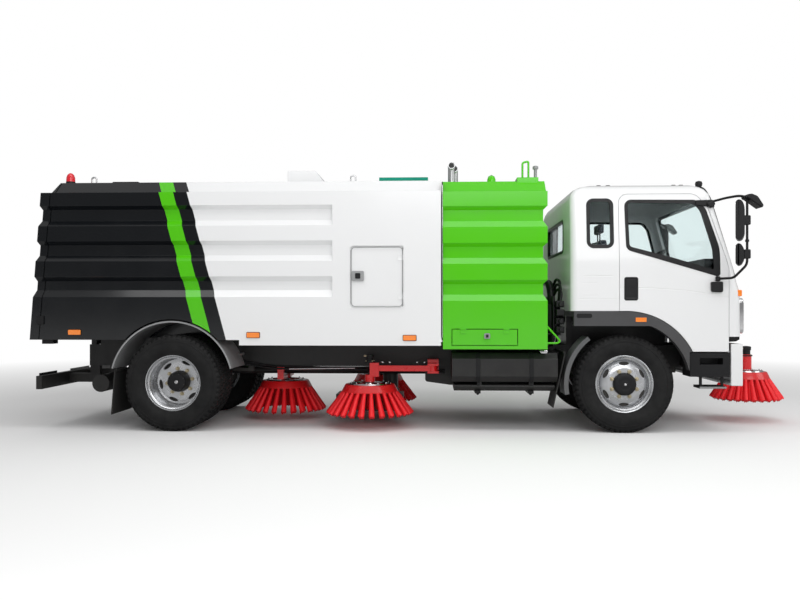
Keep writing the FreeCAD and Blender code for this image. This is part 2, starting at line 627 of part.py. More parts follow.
def make_hopper():
    gate_rear = -dim.hopper_rear
    top_rear = gate_rear + dim.rear_lean
    outer = prism("hopper_outer", "YZ_Plane",
                  body_section(dim.body_half_width, dim.hopper_floor, dim.side_top, dim.roof_top),
                  (gate_rear, dim.hopper_front))
    skirt = box("hopper_skirts", (-1900, dim.hopper_front), (-dim.body_half_width, dim.body_half_width),
                (dim.skirt_bottom, dim.hopper_floor + 40))
    skirt_gap = box("hopper_skirt_gap", (-2000, dim.hopper_front + 1),
                    (30 - dim.body_half_width, dim.body_half_width - 30),
                    (dim.skirt_bottom - 1, dim.hopper_floor))
    grooves = rib_cuts("hopper_rib", (gate_rear - 1, -dim.rib_end), dim.body_half_width, dim.rib_depth,
                       HOPPER_RIBS)
    rear_cut = prism("hopper_rear_cut", "XZ_Plane", [
        (gate_rear - 200, dim.hopper_floor), (gate_front(dim.hopper_floor) + dim.panel_gap, dim.hopper_floor),
        (gate_front(dim.roof_top) + dim.panel_gap, dim.roof_top), (gate_rear - 200, dim.roof_top)],
        (-dim.body_half_width - 10, dim.body_half_width + 10))
    arches = []
    for side, low, high in (("right", -dim.body_half_width - 20, -rail_inner - 190),
                            ("left", rail_inner + 190, dim.body_half_width + 20)):
        arches.append(rod("hopper_arch_" + side, "Y", dim.arch_radius, (rear_axle_x, low, axle_z),
                          high - low))
    wall = dim.hopper_wall
    room = prism("hopper_room", "YZ_Plane",
                 body_section(dim.body_half_width, dim.hopper_floor + 40, dim.side_top, dim.roof_top, wall),
                 (gate_rear - 10, dim.hopper_front - wall))
    boxes = [box("arch_box_" + side, (rear_axle_x - dim.arch_radius - 40, rear_axle_x + dim.arch_radius + 40),
                 ends, (dim.hopper_floor, axle_z + dim.arch_radius + 40))
             for side, ends in (("right", (-dim.body_half_width, -rail_inner - 150)),
                                ("left", (rail_inner + 150, dim.body_half_width)))]
    space = cut("hopper_space", room, *boxes)
    doorway = box("service_doorway", (-dim.service_rear, -dim.service_front),
                  (-dim.body_half_width - 5, -dim.body_half_width + wall + 5),
                  (dim.service_bottom, dim.service_top))
    lugs = [box("tip_lug_%d" % i, (-dim.tip_pivot_x - 40, -dim.tip_pivot_x + 40), (y, y + 50),
                (dim.tip_pivot_z - 45, dim.hopper_floor + 20))
            for i, y in enumerate((-rail_inner + 10, rail_inner - 60))]
    eyes = [box("hoist_lug_%d" % i, (-dim.hoist_eye_x - 30, -dim.hoist_eye_x + 30), (y - 10, y + 10),
                (dim.hoist_eye_z + 37, dim.hopper_floor + 20))
            for i, y in enumerate((-dim.hoist_y, dim.hoist_y))]
    hull = cut("hopper_hull", fuse("hopper_solid", outer, skirt), skirt_gap, rear_cut, space, doorway,
               *arches, *grooves)
    pin_bore = rod("tip_bore", "Y", dim.tip_pin_radius + dim.running_gap,
                   (-dim.tip_pivot_x, -dim.rail_outer, dim.tip_pivot_z), dim.rail_outer * 2)
    shell = cut("hopper_shell_whole", fuse("hopper_with_lugs", hull, *lugs, *eyes), pin_bore)

    gate = prism("tailgate_profile", "XZ_Plane", gate_outline(gate_rear, top_rear),
                 (-dim.body_half_width, dim.body_half_width))
    gate_shape = common("tailgate_whole", gate, prism("tailgate_section", "YZ_Plane", body_section(
        dim.body_half_width, dim.hopper_floor, dim.side_top, dim.roof_top),
        (gate_rear - 20, gate_rear + 400)))
    flank = rib_cuts("gate_rib", (gate_rear - 1, gate_rear + 500), dim.body_half_width, dim.rib_depth,
                     HOPPER_RIBS)
    hinge_x, hinge_z = gate_front(dim.roof_top), dim.roof_top + 12
    straps, seats = [], []
    for i, y in enumerate((-650, 550)):
        straps.append(rod("gate_knuckle_%d" % i, "Y", 12, (hinge_x, y, hinge_z), 100))
        straps.append(box("gate_strap_%d" % i, (hinge_x - 26, hinge_x), (y, y + 100),
                          (hinge_z - 50, hinge_z)))
        seats.append(box("gate_seat_%d" % i, (hinge_x + 12 + dim.fit_gap, hinge_x + 60), (y, y + 100),
                         (dim.roof_top - 10, hinge_z + 12)))
    node("tailgate", fuse("tailgate_hinged", cut("tailgate_ribbed", gate_shape, *flank), *straps))
    node("hopper_shell", fuse("hopper_shell_seated", shell, *seats))

    gap = dim.panel_gap
    leaf = box("service_door_leaf", (-dim.service_rear + gap, -dim.service_front - gap),
               (-dim.body_half_width, -dim.body_half_width + dim.service_thick),
               (dim.service_bottom + gap, dim.service_top - gap))
    hinge_x = -dim.service_front - gap / 2
    hinge_y = -dim.body_half_width - dim.hinge_offset
    hinges = []
    for i, z in enumerate((dim.service_bottom + 90, dim.service_top - 150)):
        hinges.append(rod("service_knuckle_%d" % i, "Z", dim.hinge_radius, (hinge_x, hinge_y, z), 60))
        hinges.append(box("service_strap_%d" % i, (hinge_x - 45, hinge_x), (hinge_y, -dim.body_half_width),
                          (z, z + 60)))
    node("service_door", fuse("service_door_whole", leaf, *hinges))


def gate_front(height):
    """How far forward the tailgate's inner face lies at a height."""
    rise = dim.roof_top - dim.hopper_floor
    foot = dim.tailgate_thick - dim.gate_foot_taper - dim.hopper_rear
    return foot + (dim.rear_lean + dim.gate_foot_taper) * (height - dim.hopper_floor) / rise


def gate_outline(gate_rear, top_rear):
    """Side profile of the tailgate: the flank's ribs run on across its outer face."""
    rise = dim.side_top - dim.hopper_floor
    depth = dim.gate_rib

    def lean_at(height):
        return gate_rear + dim.rear_lean * (height - dim.hopper_floor) / rise
    outline = [(lean_at(dim.hopper_floor), dim.hopper_floor + 0)]
    for top, step, floor, slope in reversed(HOPPER_RIBS):
        outline += [(lean_at(slope), as_size(slope)), (lean_at(floor) + depth, as_size(floor)),
                    (lean_at(step) + depth, as_size(step)), (lean_at(top), as_size(top))]
    outline += [(top_rear, dim.side_top + 0), (top_rear + 60, dim.side_top + 8),
                (top_rear + 100, dim.roof_top + 0),
                (gate_front(dim.roof_top), dim.roof_top + 0),
                (gate_front(dim.hopper_floor), dim.hopper_floor + 0)]
    return outline


def make_roof_box():
    top = dim.roof_top
    raised = prism("roof_box_profile", "XZ_Plane",
                   [(-1600, top), (-1120, top), (-1280, top + 268), (-1600, top + 268)], (-350, 350))
    hatch = box("roof_hatch", (-505, 51), (-300, 300), (top, top + 140))
    node("hopper_roof_fittings", group("roof_fittings", raised, hatch))


def make_hoist():
    """Pair of rams that lift the hopper; each barrel swings on the frame and its rod slides out."""
    run, rise = dim.hoist_base_x - dim.hoist_eye_x, dim.hoist_eye_z - dim.hoist_base_z
    reach = slant_length(run, rise)
    barrels, rods = [], []
    for side, y in (("right", -dim.hoist_y), ("left", dim.hoist_y)):
        def bar(name, radius, start, length):
            item = lean(doc.addObject("Part::Cylinder", name + side), run, rise)
            bind(item, Radius=radius, Height=length)
            return place(item, start * run / reach - dim.hoist_base_x, y,
                         start * rise / reach + dim.hoist_base_z)
        foot = rod("barrel_foot_" + side, "Y", 40, (-dim.hoist_base_x, y - 45, dim.hoist_base_z), 90)
        barrel = fuse("barrel_solid_" + side, bar("barrel_", dim.barrel_radius, as_size(0), reach - 230),
                      foot)
        pin_bore = rod("barrel_pin_bore_" + side, "Y", dim.hoist_pin_radius + dim.running_gap,
                       (-dim.hoist_base_x, y - 100, dim.hoist_base_z), 200)
        barrels.append(cut("barrel_set_" + side, barrel, pin_bore,
                           bar("barrel_bore_", dim.rod_radius + dim.running_gap, as_size(60), reach)))
        eye_ring = rod("rod_eye_" + side, "Y", 36, (-dim.hoist_eye_x, y - 30, dim.hoist_eye_z), 60)
        rods.append(fuse("rod_set_" + side, bar("piston_rod_", dim.rod_radius, as_size(90), reach - 100),
                         eye_ring))
    node("hoist_barrels", group("hoist_barrel_pair", *barrels))
    node("hoist_rods", group("hoist_rod_pair", *rods))


# ---- engine compartment ----

def make_compartment():
    span = (dim.compartment_rear, dim.compartment_front)
    outer = prism("compartment_outer", "YZ_Plane", body_section(
        dim.body_half_width, dim.compartment_bottom, dim.side_top - 12, dim.compartment_top), span)
    wall = dim.compartment_wall
    inner = prism("compartment_inner", "YZ_Plane", body_section(
        dim.body_half_width, dim.compartment_bottom + wall, dim.side_top - 12, dim.compartment_top, wall),
        (span[0] + wall, span[1] - wall))
    frame_slot = box("compartment_frame_slot", (span[0] - 1, span[1] + 1),
                     (-dim.rail_outer - 5, dim.rail_outer + 5),
                     (dim.compartment_bottom - 1, rail_top + dim.fit_gap))
    grooves = rib_cuts("compartment_rib", (span[0] - 1, span[1] + 1), dim.body_half_width,
                       dim.compartment_rib, COMPARTMENT_RIBS)
    front = dim.compartment_front
    for i, (top, step, bottom, slope) in enumerate(COMPARTMENT_RIBS):
        grooves.append(prism("compartment_front_rib_%d" % i, "XZ_Plane", [
            (front + 1, as_size(top)), (front - dim.compartment_rib, as_size(step)),
            (front - dim.compartment_rib, as_size(bottom)), (front + 1, as_size(slope))],
            (-dim.body_half_width - 5, dim.body_half_width + 5)))
    doorway = box("flap_doorway", (dim.flap_rear, dim.flap_front),
                  (-dim.body_half_width - 5, -dim.body_half_width + wall + 5),
                  (dim.flap_bottom, dim.flap_top))
    bearers = [box("compartment_bearer_%d" % i, (x, x + 80), (-rail_inner - 65, rail_inner + 65),
                   (rail_top, dim.compartment_bottom + wall + 5)) for i, x in enumerate((260, 1140))]
    shell = cut("compartment_shell", outer, inner, frame_slot, doorway, *grooves)
    node("engine_compartment", fuse("compartment_whole", shell, *bearers))
    gap = dim.panel_gap
    leaf = box("compartment_flap_leaf", (dim.flap_rear + gap, dim.flap_front - gap),
               (-dim.body_half_width, -dim.body_half_width + dim.flap_thick),
               (dim.flap_bottom + gap, dim.flap_top - gap))
    hinge_y = -dim.body_half_width - dim.hinge_offset
    hinge_z = dim.flap_top - gap / 2
    hinges = []
    for i, x in enumerate((dim.flap_rear + 90, dim.flap_front - 150)):
        hinges.append(rod("flap_knuckle_%d" % i, "X", dim.hinge_radius, (x, hinge_y, hinge_z), 60))
        hinges.append(box("flap_strap_%d" % i, (x, x + 60), (hinge_y, -dim.body_half_width),
                          (hinge_z - 45, hinge_z)))
    node("compartment_flap", fuse("compartment_flap_whole", leaf, *hinges))


def make_exhaust():
    top = dim.compartment_top
    radius, height, reach = dim.exhaust_radius, dim.exhaust_height, dim.exhaust_reach
    parts = []
    for i in range(2):
        x = dim.compartment_rear + dim.exhaust_ahead + dim.exhaust_stagger * i
        y = dim.exhaust_pitch * i - dim.exhaust_out
        pipe = rod("stack_%d" % i, "Z", radius, (x, y, top), height)
        outlet = rod("outlet_%d" % i, "Y", radius, (x, y - reach, top + height), reach)
        knee = doc.addObject("Part::Sphere", "knee_%d" % i)
        bind(knee, Radius=radius + 2)
        place(knee, x, y, top + height)
        parts.append(fuse("stack_set_%d" % i, pipe, outlet, knee))
    node("exhaust_stacks", group("exhaust_pair", *parts))


# ---- cab ----

def cab_side(inset=0):
    """Side profile of the cab, from the rear foot round over the roof to the front foot."""
    return [
        (dim.cab_rear + inset, dim.door_bottom + inset), (dim.cab_rear + inset, 2420),
        (dim.cab_rear + 50 + inset, 2530 - inset), (dim.cab_rear + 300, dim.cab_top - inset),
        (ahead(615), dim.cab_top - inset), (ahead(785) - inset, 2575 - inset),
        (ahead(875) - inset, 2490 - inset),
        (ahead(1100) - inset, 1721), (ahead(1140) - inset, 1560), (dim.bumper_front - 4 - inset, 1450),
        (dim.bumper_front + 3 - inset, 1018), (dim.bumper_front + 3 - inset, dim.door_bottom + inset),
    ]


def cab_front(inset=0, foot=0):
    """Front outline of the cab: upright to the belt, leaning in above, with rounded roof edges."""
    half = dim.cab_half_width - inset
    return [
        (-half, dim.door_bottom + foot), (half, dim.door_bottom + foot), (half, dim.belt_height),
        (half - 60, 2420 - inset), (half - 105, 2520 - inset), (half - 260, dim.cab_top - 15 - inset),
        (half - 420, dim.cab_top + 0 - inset), (420 - half, dim.cab_top - inset),
        (260 - half, dim.cab_top - 15 - inset), (105 - half, 2520 - inset), (60 - half, 2420 - inset),
        (-half, dim.belt_height),
    ]


def cab_block(name, inset=0):
    half = dim.cab_half_width + 20
    long_way = prism(name + "_side", "XZ_Plane", cab_side(inset), (-half, half))
    cross_way = prism(name + "_front", "YZ_Plane", cab_front(inset, inset),
                      (dim.cab_rear - 20, dim.bumper_front + 40))
    return common(name, long_way, cross_way)


def side_tool(name, corners, inner=-700):
    """A cutter through the right flank of the cab."""
    return prism(name, "XZ_Plane", corners, (-dim.cab_half_width - 50, as_size(inner)))


def screen_corners(gap):
    half = dim.cab_half_width - gap
    return [(130 - half, 1760 + gap), (half - 130, 1760 + gap), (half - 190, 2430 - gap),
            (190 - half, 2430 - gap)]


def floor_arch(half):
    """Room for the wheels through the cab floor."""
    return rod("floor_arch", "Y", dim.arch_cut - 10, (front_axle_x, -half - 20, axle_z), half * 2 + 40)


def door_corners(gap):
    return [(dim.door_rear + gap, dim.door_bottom + gap), (dim.door_front - gap, dim.door_bottom + gap),
            (dim.door_front - gap, 1700), (ahead(1015) - gap, 1790), (ahead(840) - gap, 2330),
            (ahead(715) - gap, dim.door_top - gap),
            (dim.door_rear + gap, dim.door_top - gap)]


def door_window(gap=0):
    return [(ahead(15) + gap, 1905 + gap), (ahead(456), 1788 + gap), (ahead(913) - gap, 1650 + gap),
            (ahead(900) - gap, 1905),
            (ahead(785) - gap, 2313 - gap), (ahead(705), 2390 - gap), (ahead(1) + gap, 2400 - gap)]


def quarter_window(gap=0):
    return [(ahead(-385) + gap, 1918 + gap), (ahead(-131) - gap, 1918 + gap), (ahead(-131) - gap, 2412 - gap),
            (ahead(-385) + gap, 2412 - gap)]


def make_cab():
    wall = dim.cab_wall
    outer = cab_block("cab_outer")
    inner = cab_block("cab_inner", wall)
    layer = cut("glass_layer", cab_block("glass_outer", 24), cab_block("glass_inner", 24 + dim.glass_thick))
    half = dim.cab_half_width
    floor = dim.cab_bottom
    hull = cut("cab_hull", outer, inner)

    arch_round = rod("cab_arch_round", "Y", dim.arch_cut, (front_axle_x, -half - 20, axle_z), half * 2 + 40)
    arch_back = box("cab_arch_back", (dim.cab_rear - 20, front_axle_x), (-half - 20, half + 20),
                    (dim.door_bottom - 50, floor))
    below = box("cab_below", (dim.cab_rear - 30, dim.bumper_front - 60), (-half + wall, half - wall),
                (dim.door_bottom - 50, floor - wall))
    front_foot = box("cab_front_foot", (dim.door_front - 1, dim.bumper_front + 60), (-half - 20, half + 20),
                     (dim.door_bottom - 50, dim.cab_foot))
    door_hole = side_tool("door_hole", door_corners(0))
    window_hole = side_tool("door_window_hole", door_window())
    screen_hole = prism("screen_hole", "YZ_Plane", screen_corners(0), (ahead(615), dim.bumper_front + 50))
    rear_hole = box("rear_window_hole", (dim.cab_rear - 10, dim.cab_rear + wall + 10), (-600, 600),
                    (1900, 2250))

    floor_plate = box("cab_floor", (dim.cab_rear + 20, dim.bumper_front - 30), (-half + 20, half - 20),
                      (floor - wall, floor))
    tunnel = box("engine_tunnel", (dim.cab_rear + 30, ahead(615)), (-310, 310), (floor - 5, floor + 60))
    floor_set = common("cab_floor_fitted", outer, fuse("cab_floor_solid", floor_plate, tunnel))
    body = cut("cab_body", cut("cab_walls", hull, arch_round, arch_back, below, front_foot),
               both_sides("door_holes", door_hole), both_sides("quarter_holes", side_tool(
                   "quarter_hole", quarter_window())), screen_hole, rear_hole)
    floor_cut = cut("cab_floor_cut", floor_set, both_sides("floor_door_gap", side_tool(
        "floor_door_gap_right", door_corners(0), -half + wall + dim.panel_gap)), floor_arch(half))
    lug_sides = (10 - rail_inner, rail_inner - 55)
    lugs = [box("tilt_lug_%d" % i, (dim.tilt_pivot_x - 28, dim.tilt_pivot_x + 28), (y, y + 45),
                (dim.tilt_pivot_z - 28, floor - 20)) for i, y in enumerate(lug_sides)]
    pin_bore = rod("tilt_bore", "Y", dim.tilt_pin_radius + dim.running_gap,
                   (dim.tilt_pivot_x, -dim.rail_outer, dim.tilt_pivot_z), dim.rail_outer * 2)
    node("cab_shell", cut("cab_shell_whole", fuse("cab_with_lugs", body, floor_cut, *lugs), pin_bore))

    flank = cut("cab_flank", outer, prism("cab_between_flanks", "YZ_Plane", cab_front(wall, -20),
                                          (dim.cab_rear - 30, dim.bumper_front + 60)))
    leaf = cut("door_leaf", common("door_blank", flank, side_tool("door_zone", door_corners(dim.panel_gap))),
               arch_round, window_hole)
    knuckle = 4
    hinges = [rod("door_knuckle_%d" % i, "Z", knuckle, (dim.door_front - knuckle - dim.fit_gap, -half, z), 80)
              for i, z in enumerate((1080, 1500))]
    door = fuse("door_right_leaf", leaf, *hinges)
    node("door_right", door)
    node("door_left", mirrored("door_left_leaf", door))
    pane = common("door_glass_right_pane", layer, side_tool("door_glass_zone", door_window(dim.fit_gap)))
    node("door_glass_right", pane)
    node("door_glass_left", mirrored("door_glass_left_pane", pane))
    quarter = common("quarter_pane", layer, side_tool("quarter_zone", quarter_window(dim.fit_gap)))
    screen = common("windscreen_pane", layer, prism("screen_zone", "YZ_Plane", screen_corners(dim.fit_gap),
                                                    (ahead(615), dim.bumper_front + 50)))
    rear_pane = box("rear_pane", (dim.cab_rear + 24, dim.cab_rear + 24 + dim.glass_thick),
                    (-599.7, 599.7), (1900.3, 2249.7))
    node("cab_glass", group("cab_glass_panes", quarter, mirrored("quarter_pane_left", quarter), screen,
                            rear_pane))


def make_cab_trims():
    half = dim.cab_half_width
    outer = fuse("trim_outer",
                 rod("trim_round", "Y", dim.arch_cut - dim.panel_gap, (front_axle_x, -half - 8, axle_z), 90),
                 box("trim_band", (dim.cab_rear + 30, dim.door_rear - dim.panel_gap), (-half - 8, -half + 82),
                     (dim.trim_bottom, dim.cab_bottom - dim.fit_gap)))
    inner = rod("trim_opening", "Y", dim.trim_radius, (front_axle_x, -half - 10, axle_z), 100)
    low = box("trim_low", (dim.cab_rear - 400, front_axle_x), (-half - 20, -half + 100),
              (-400, dim.trim_bottom))
    foot = box("trim_foot", (front_axle_x - 10, ahead(915)), (-half - 20, -half + 100), (-400, 655))
    flat = box("trim_flat", (front_axle_x - 262, front_axle_x + 262), (-half - 7.9, -half + 81.9),
               (dim.trim_bottom, dim.trim_bottom + 60))
    step_room = box("trim_step_room", (ahead(648) - dim.panel_gap, ahead(915)), (-half - 20, -half + 100),
                    (-400, dim.door_bottom))
    floor_room = box("trim_floor_room", (dim.cab_rear, ahead(415)), (-half + 20 - dim.fit_gap, -half + 100),
                     (dim.cab_bottom - dim.cab_wall - dim.fit_gap, dim.cab_bottom + 1))
    ring = cut("trim_ring", outer, inner, low, foot, step_room, floor_room)
    right = fuse("trim_right", ring, flat)
    node("arch_trims", both_sides("arch_trim_pair", right))


def make_mirrors():
    """Two mirror heads on a tube frame that the door carries above and below its window."""
    tube = 16
    post_x, post_y = ahead(1110), -1420
    arm = prism("mirror_arm", "XY_Plane",
                [(ahead(777), -1040), (ahead(815), -1030), (post_x + 16, post_y + 6),
                                           (post_x - 16, post_y - 16)], (2385, 2415))
    foot = prism("mirror_foot", "XY_Plane",
                 [(ahead(925), -1100), (ahead(965), -1100), (post_x + 16, post_y + 6),
                                             (post_x - 16, post_y - 16)], (1580, 1606))
    post = rod("mirror_post", "Z", tube, (post_x, post_y, 1580), 835)
    # name, along, across, height
    pieces = (
        ("mirror_head", (ahead(1015), ahead(1090)), (-1520, -1330), (1960, 2350)),
        ("mirror_low_head", (ahead(1020), ahead(1095)), (-1510, -1340), (1715, 1925)),
        ("mirror_clip", (ahead(1085), post_x), (-1435, -1405), (2100, 2200)),
        ("mirror_low_clip", (ahead(1090), post_x), (-1435, -1405), (1790, 1860)),
        ("kerb_mirror", (post_x, ahead(1245)), (-1500, -1340), (2320, 2380)),
    )
    whole = fuse("mirror_solid", arm, foot, post, *[box(*piece) for piece in pieces])
    right = cut("mirror_right_whole", whole, cab_block("mirror_seat", -dim.fit_gap))
    node("mirror_right", right)
    node("mirror_left", mirrored("mirror_left_whole", right))


def make_cab_inside():
    wall = dim.cab_wall
    half = dim.cab_half_width - wall - 8
    dash_corners = [(ahead(775), 1480), (ahead(855), 1330), (ahead(1095), 1330), (ahead(1095), 1730),
                    (ahead(995), dim.dash_top), (ahead(815), dim.dash_top)]
    dash = prism("dashboard_profile", "XZ_Plane", dash_corners, (-half, half))
    fitted = common("dashboard_fitted", dash, cab_block("dashboard_room", wall + dim.fit_gap))
    hub = (ahead(655), 520, dim.wheel_hub)
    shaft = [steering_bar("steering_shaft_bore", hub, 24 + dim.fit_gap)]
    node("dashboard", cut("dashboard_whole", fitted, *shaft))
    rim = doc.addObject("Part::Torus", "steering_rim")
    bind(rim, Radius1=dim.steering_radius, Radius2=15)
    # start and length along, start and width across
    spoke_table = ((-dim.steering_radius, dim.steering_radius * 2, -22, 44),
                   (-22, 44, -dim.steering_radius, dim.steering_radius))
    spokes = [box("steering_spoke_%d" % i, (x, x + reach), (y, y + across), (-18, 2))
              for i, (x, reach, y, across) in enumerate(spoke_table)]
    boss = rod("steering_boss", "Z", 60, (0, 0, -40), 50)
    wheel = fuse("steering_rim_set", rim, boss, *spokes)
    wheel.Placement = FreeCAD.Placement(Vector(), FreeCAD.Rotation(Vector(0, 1, 0), -32))
    place(wheel, *hub)
    node("steering_wheel", fuse("steering_wheel_whole", wheel,
                                steering_bar("steering_shaft", hub, as_size(24))))


def steering_bar(name, hub, radius):
    """The column, running forward and down from the wheel's hub."""
    bar = doc.addObject("Part::Cylinder", name)
    bind(bar, Radius=radius, Height=430)
    bar.Placement = FreeCAD.Placement(Vector(), FreeCAD.Rotation(Vector(0, 1, 0), 180 - 32))
    return place(bar, *hub)


def make_seats():
    sets = []
    floor = dim.cab_bottom
    for name, y, half in (("driver", 520, 250), ("passenger", -520, 250)):
        cushion = box(name + "_cushion", (ahead(-95), ahead(395)), (y - half, y + half),
                      (floor + 260, floor + 400))
        base = box(name + "_base", (ahead(-45), ahead(315)), (y - half + 60, y + half - 60),
                   (floor, floor + 260))
        back = box(name + "_back", (ahead(-215), ahead(-100)), (y - half, y + half),
                   (floor + 270, floor + 960))
        sets.append(fuse(name + "_seat", cushion, base, back, box(name + "_link", (ahead(-105), ahead(-85)),
                    (y - half + 60, y + half - 60), (floor + 280, floor + 380))))
    node("seats", group("seat_pair", *sets))


# ---- sweeping gear ----

def brush_outline(radius, low, disc):
    """Bristle skirt flaring down from a steel disc with its hub; radius, then height."""
    return [(0, disc + 50), (45, disc + 50), (45, disc + 20), (radius * 0.42, disc + 20),
            (radius * 0.5, disc), (radius, low + 20), (radius, low), (radius * 0.72, low),
            (radius * 0.3, disc - 30), (0, disc - 30)]


def make_brushes():
    parts = (
        # name, x, y, radius, bottom, disc height
        ("side_brush_right", -dim.side_brush_x, -dim.side_brush_y, dim.side_brush_radius,
         dim.side_brush_bottom,
         dim.side_disc),
        ("side_brush_left", -dim.side_brush_x, dim.side_brush_y, dim.side_brush_radius, dim.side_brush_bottom,
         dim.side_disc),
        ("centre_brush", -dim.centre_brush_x, 0, dim.side_brush_radius, dim.centre_brush_bottom,
         dim.centre_disc),
        ("front_brush", dim.front_brush_x, 0, dim.front_brush_radius, dim.front_brush_bottom, dim.front_disc),
    )
    for name, x, y, radius, low, disc in parts:
        node(name, place(turned(name + "_turned", "XZ_Plane", brush_outline(radius, low, disc)), x, y, 0))


def motor(name, x, y, disc, top):
    """Hydraulic motor standing on a brush hub."""
    return rod(name, "Z", 55, (x, y, disc + 50 + dim.fit_gap), top - disc - 50 - dim.fit_gap)


def make_brush_carriers():
    low, high = dim.arm_bottom, dim.arm_bottom + dim.arm_height
    x, y = dim.arm_pivot_x, -dim.side_brush_y
    beam = box("side_arm_beam", (-dim.side_brush_x + 70, x), (y - 35, y + 35), (low, high))
    boss = rod("side_arm_boss", "Z", 48, (x, y, low), high - low)
    eye = rod("side_arm_eye", "Z", 20 + dim.running_gap, (x, y, low - 5), high - low + 10)
    socket = box("side_arm_socket", (-dim.side_brush_x + 60, -dim.side_brush_x + 100), (y - 60, y + 60),
                 (low - 60, high + 30))
    arm = cut("side_arm_right_whole", fuse("side_arm_solid", beam, boss, socket), eye)
    node("side_brush_arm_right", arm)
    node("side_brush_arm_left", mirrored("side_arm_left_whole", arm))

    slide = box("side_head_slide", (-dim.side_brush_x, -dim.side_brush_x + 60 - dim.fit_gap),
                (y - 50, y + 50),
                (low - 60, high + 30))
    drive = motor("side_motor", -dim.side_brush_x, y, dim.side_disc, low - 40)
    head = fuse("side_head_right_whole", slide, drive)
    node("side_brush_head_right", head)
    node("side_brush_head_left", mirrored("side_head_left_whole", head))

    gap = dim.fit_gap
    plates = [
        box("pivot_plate_low", (x - 60, x + 60), (y - 50, -dim.rail_outer), (low - gap - 22, low - gap)),
        box("pivot_plate_top", (x - 60, x + 60), (y - 50, -dim.rail_outer), (high + gap, high + gap + 22)),
        box("pivot_web", (x - 60, x + 60), (y + 75, -dim.rail_outer), (low - gap - 22, high + gap + 60)),
        rod("pivot_pin", "Z", 20, (x, y, low - gap - 22), high - low + (gap + 22) * 2),
    ]
    bracket = fuse("brush_bracket_right", *plates)
    cx = -dim.centre_brush_x
    guide = box("centre_guide", (cx + 35 + gap, cx + 75), (-rail_inner, -rail_inner + 85),
                (dim.rail_bottom, 780))
    post = box("front_brush_post", (dim.bumper_front, dim.bumper_front + 60), (-70, 70),
               (dim.bumper_bottom + 20, dim.bumper_top - 60))
    node("brush_brackets", group("brush_bracket_set", both_sides("side_brackets", bracket),
                                 both_sides("centre_guides", guide), post))

    top = dim.centre_disc + 50 + gap
    centre = fuse("centre_head_whole", rod("centre_motor", "Z", 55, (cx, 0, top), 40),
                  box("centre_beam", (cx - 35, cx + 35), (-300, 300), (top + 5, top + 38)),
                  box("centre_post_right", (cx - 35, cx + 35), (-350, -280), (top + 5, 760)),
                  box("centre_post_left", (cx - 35, cx + 35), (280, 350), (top + 5, 760)))
    node("centre_brush_head", centre)

    fx = dim.front_brush_x
    plate_x = dim.bumper_front + 60 + gap
    lift = fuse("front_head_whole", box("front_slide", (plate_x, plate_x + 30), (-60, 60), (560, 860)),
                box("front_beam_arm", (plate_x, fx + 40), (-45, 45), (700, 760)),
                rod("front_motor", "Z", 60, (fx, 0, dim.front_disc + 50 + gap),
                    760 - dim.front_disc - 50 - gap))
    node("front_brush_head", lift)


def make_nozzle():
    hood = box("nozzle_hood", (-1010, -240), (-200, 200), (110, 300))
    mouth = box("nozzle_mouth", (-980, -270), (-170, 170), (109, 270))
    duct = rod("suction_duct", "Z", 90, (-400, 180, 290), dim.hopper_floor - dim.fit_gap - 290)
    bore = rod("suction_bore", "Z", 82, (-400, 180, 200), dim.hopper_floor)
    neck = box("nozzle_neck", (-500, -300), (80, 280), (280, 330))
    tab = box("duct_tab", (-335, -300), (150, 210), (720, 800))
    node("suction_nozzle", cut("nozzle_whole", fuse("nozzle_solid", hood, duct, neck, tab), mouth, bore))


for make in (make_front_tyre, make_front_rim, make_rear_wheels, make_rear_axle, make_front_axle, make_knuckle,
             make_tie_rod, make_springs, make_propshaft, make_engines, make_frame, make_underrun,
             make_fuel_tank,
             make_battery_box, make_air_tanks, make_bumper, make_steps, make_mudguards, make_mudflaps,
             make_hopper, make_roof_box, make_hoist, make_compartment, make_exhaust, make_cab, make_cab_trims,
             make_mirrors, make_cab_inside, make_seats, make_brushes, make_brush_carriers,
             make_nozzle):
    make()
doc.recompute()

failed = [item.Name for item in doc.Objects if "Invalid" in item.State or "Error" in item.State]
if failed:
    raise RuntimeError("not built: %s" % ", ".join(failed))
for item in nodes:
    if item.Shape.isNull() or not item.Shape.isValid() or not item.Shape.Solids:
        raise RuntimeError("%s has no sound shape" % item.Label)

os.makedirs("parts", exist_ok=True)
for item in nodes:
    item.Shape.exportStep("parts/%s.step" % item.Label)
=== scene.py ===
import json
import math

import bpy
from mathutils import Matrix, Vector


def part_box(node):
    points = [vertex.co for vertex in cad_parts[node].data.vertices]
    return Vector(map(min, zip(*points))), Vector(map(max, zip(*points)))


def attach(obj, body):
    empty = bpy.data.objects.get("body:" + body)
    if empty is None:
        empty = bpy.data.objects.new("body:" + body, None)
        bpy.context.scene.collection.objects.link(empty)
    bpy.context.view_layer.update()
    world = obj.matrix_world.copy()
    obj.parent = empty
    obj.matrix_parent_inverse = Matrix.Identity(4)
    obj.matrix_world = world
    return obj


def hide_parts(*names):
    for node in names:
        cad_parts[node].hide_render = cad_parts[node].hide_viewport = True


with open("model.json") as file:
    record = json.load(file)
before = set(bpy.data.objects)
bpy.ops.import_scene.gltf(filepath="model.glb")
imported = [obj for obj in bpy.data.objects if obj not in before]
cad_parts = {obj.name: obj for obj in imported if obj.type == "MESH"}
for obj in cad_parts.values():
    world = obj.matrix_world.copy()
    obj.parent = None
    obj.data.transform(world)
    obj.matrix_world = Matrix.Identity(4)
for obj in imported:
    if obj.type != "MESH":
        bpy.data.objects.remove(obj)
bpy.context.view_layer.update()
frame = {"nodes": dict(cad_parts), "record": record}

# Street sweeper truck. Metres, +X forward, +Y to the vehicle's left, +Z up. The near side is the right one, -Y.
SIDES = (("right", -1), ("left", 1))
ORIGIN = (0, 0, 0)
